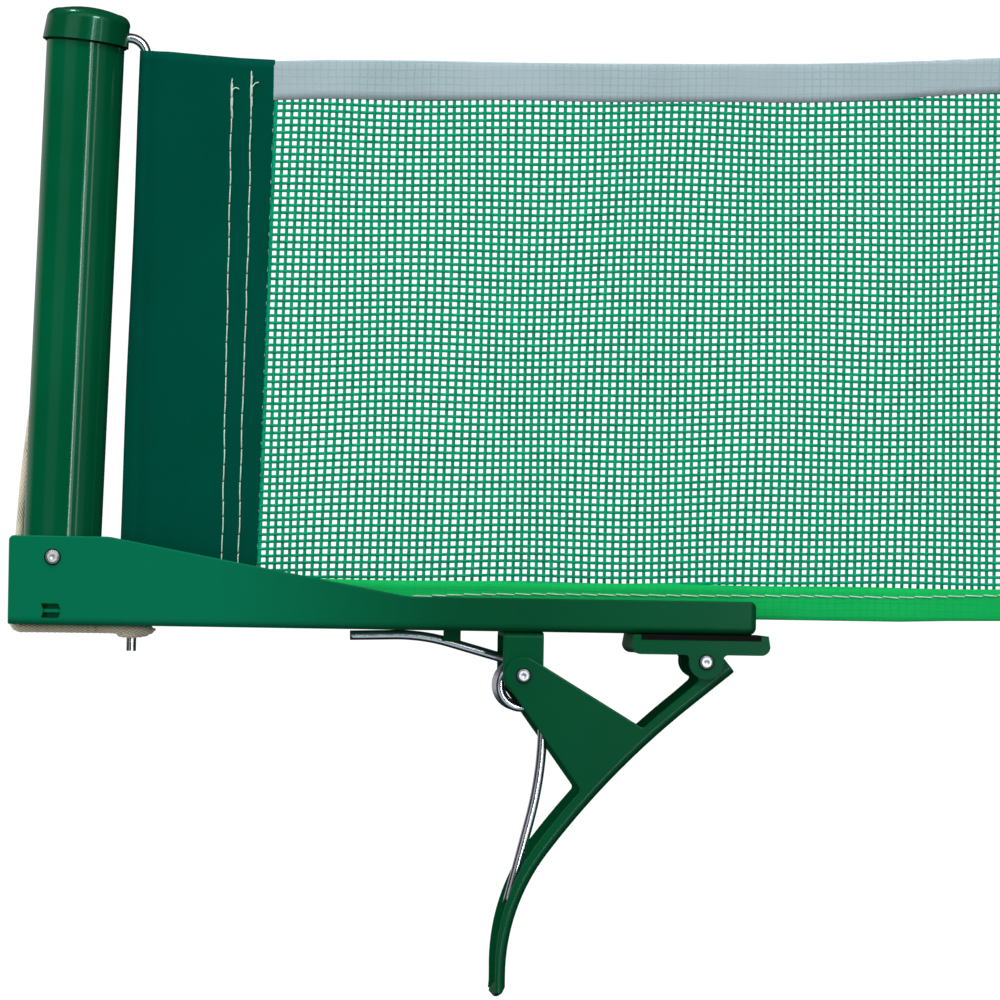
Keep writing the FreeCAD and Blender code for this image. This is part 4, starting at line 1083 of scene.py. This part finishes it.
def build_world():
    """White behind the object, a soft dome for shading, and a ring of light for mirrors."""
    world = bpy.data.worlds.new("Studio")
    bpy.context.scene.world = world
    world.use_nodes = True
    tree = world.node_tree
    tree.nodes.clear()

    def add(kind, **settings):
        node = tree.nodes.new(kind)
        for key, value in settings.items():
            setattr(node, key, value)
        return node

    def mapped(source, low, high, first, last):
        node = add("ShaderNodeMapRange")
        for key, value in zip(("From Min", "From Max", "To Min", "To Max"),
                              (low, high, first, last)):
            node.inputs[key].default_value = value
        tree.links.new(source, node.inputs["Value"])
        return node.outputs["Result"]

    def light(strength, colour=(1, 1, 1, 1)):
        node = add("ShaderNodeBackground")
        node.inputs["Color"].default_value = colour
        if isinstance(strength, float):
            node.inputs["Strength"].default_value = strength
        else:
            tree.links.new(strength, node.inputs["Strength"])
        return node.outputs[0]

    def either(test, no, yes):
        node = add("ShaderNodeMixShader")
        for socket, source in zip(node.inputs, (test, no, yes)):
            tree.links.new(source, socket)
        return node.outputs[0]

    def combined(operation, *values):
        node = add("ShaderNodeMath", operation=operation)
        for socket, source in zip(node.inputs, values):
            tree.links.new(source, socket)
        return node.outputs[0]

    def product(first, *others):
        for other in others:
            first = combined("MULTIPLY", first, other)
        return first

    rays = add("ShaderNodeLightPath")
    split = add("ShaderNodeSeparateXYZ")
    tree.links.new(add("ShaderNodeTexCoord").outputs["Generated"], split.inputs[0])
    x, y, z = split.outputs
    height = combined("ABSOLUTE", z)
    # Brighter above than below, and darker on the right.
    dome = product(mapped(z, -0.7, 0.7, 0.34, 1.2), mapped(x, 0.1, 1.0, 1.0, 0.35))
    # A ring round the camera, dim in its middle and dimmer at the object's own level.
    ring = product(mapped(y, -0.55, -0.4, 1.0, 0.015), mapped(y, -0.93, -0.86, 0.06, 1.0),
                   mapped(height, 0.1, 0.28, 0.25, 1.0))
    # A low patch behind and on the left, for the rim of the post.
    behind = product(mapped(y, 0.3, 0.6, 0.0, 0.5), mapped(x, -0.35, -0.2, 1.0, 0.0),
                     mapped(height, 0.2, 0.4, 1.0, 0.0))
    ring = combined("ADD", ring, behind)
    above = mapped(z, -0.3, -0.12, 0.0, 1.0)
    mirrored = either(above, light(ring, (0.5, 0.62, 0.62, 1)), light(ring))
    shading = either(rays.outputs["Is Glossy Ray"], light(dome), mirrored)
    seen = either(rays.outputs["Is Camera Ray"], shading, light(1.05))
    tree.links.new(seen, add("ShaderNodeOutputWorld").inputs["Surface"])


def build_lights():
    for light in MIRRORED_LIGHTS:
        area_light(*light).visible_diffuse = False
    for light in SHADING_LIGHTS:
        area_light(*light).visible_glossy = False


LENS = 188.87  # mm, for a sensor 36 mm wide
CAMERA_PLACE = (11.0, -1400.0, 19.0)  # mm from the foot of the post
YAW, PITCH, ROLL = (math.radians(angle) for angle in (3.052, 0.633, 0.923))


def build_camera():
    """A long lens, almost square to the net and a little left of its middle."""
    data = bpy.data.cameras.new("Camera")
    data.sensor_width = 36
    data.lens = LENS
    data.shift_x = 0.12
    data.clip_start, data.clip_end = 0.05, 60
    camera = bpy.data.objects.new("Camera", data)
    bpy.context.scene.collection.objects.link(camera)
    ahead = Vector((math.sin(YAW) * math.cos(PITCH), math.cos(YAW) * math.cos(PITCH),
                    math.sin(PITCH)))
    level = Vector((math.cos(YAW), -math.sin(YAW), 0))
    above = level.cross(ahead)
    right = level * math.cos(ROLL) + above * math.sin(ROLL)
    up = above * math.cos(ROLL) - level * math.sin(ROLL)
    turn = Matrix((right, up, -ahead)).transposed().to_4x4()
    camera.matrix_world = Matrix.Translation(at(*CAMERA_PLACE)) @ turn
    bpy.context.scene.camera = camera


build_camera()
build_cord()
build_spring()
shadow = groove_shadow()
build_rivet_rings(shadow)
build_rim_shadow(shadow)
build_net()
sleeve = build_sleeve()
end_sleeve = build_end_sleeve()
build_tape()
hem = build_hem()
build_sewing(sleeve, end_sleeve, hem)
build_world()
build_lights()
bpy.context.scene.view_settings.view_transform = "Standard"
bpy.context.scene.view_settings.look = "None"
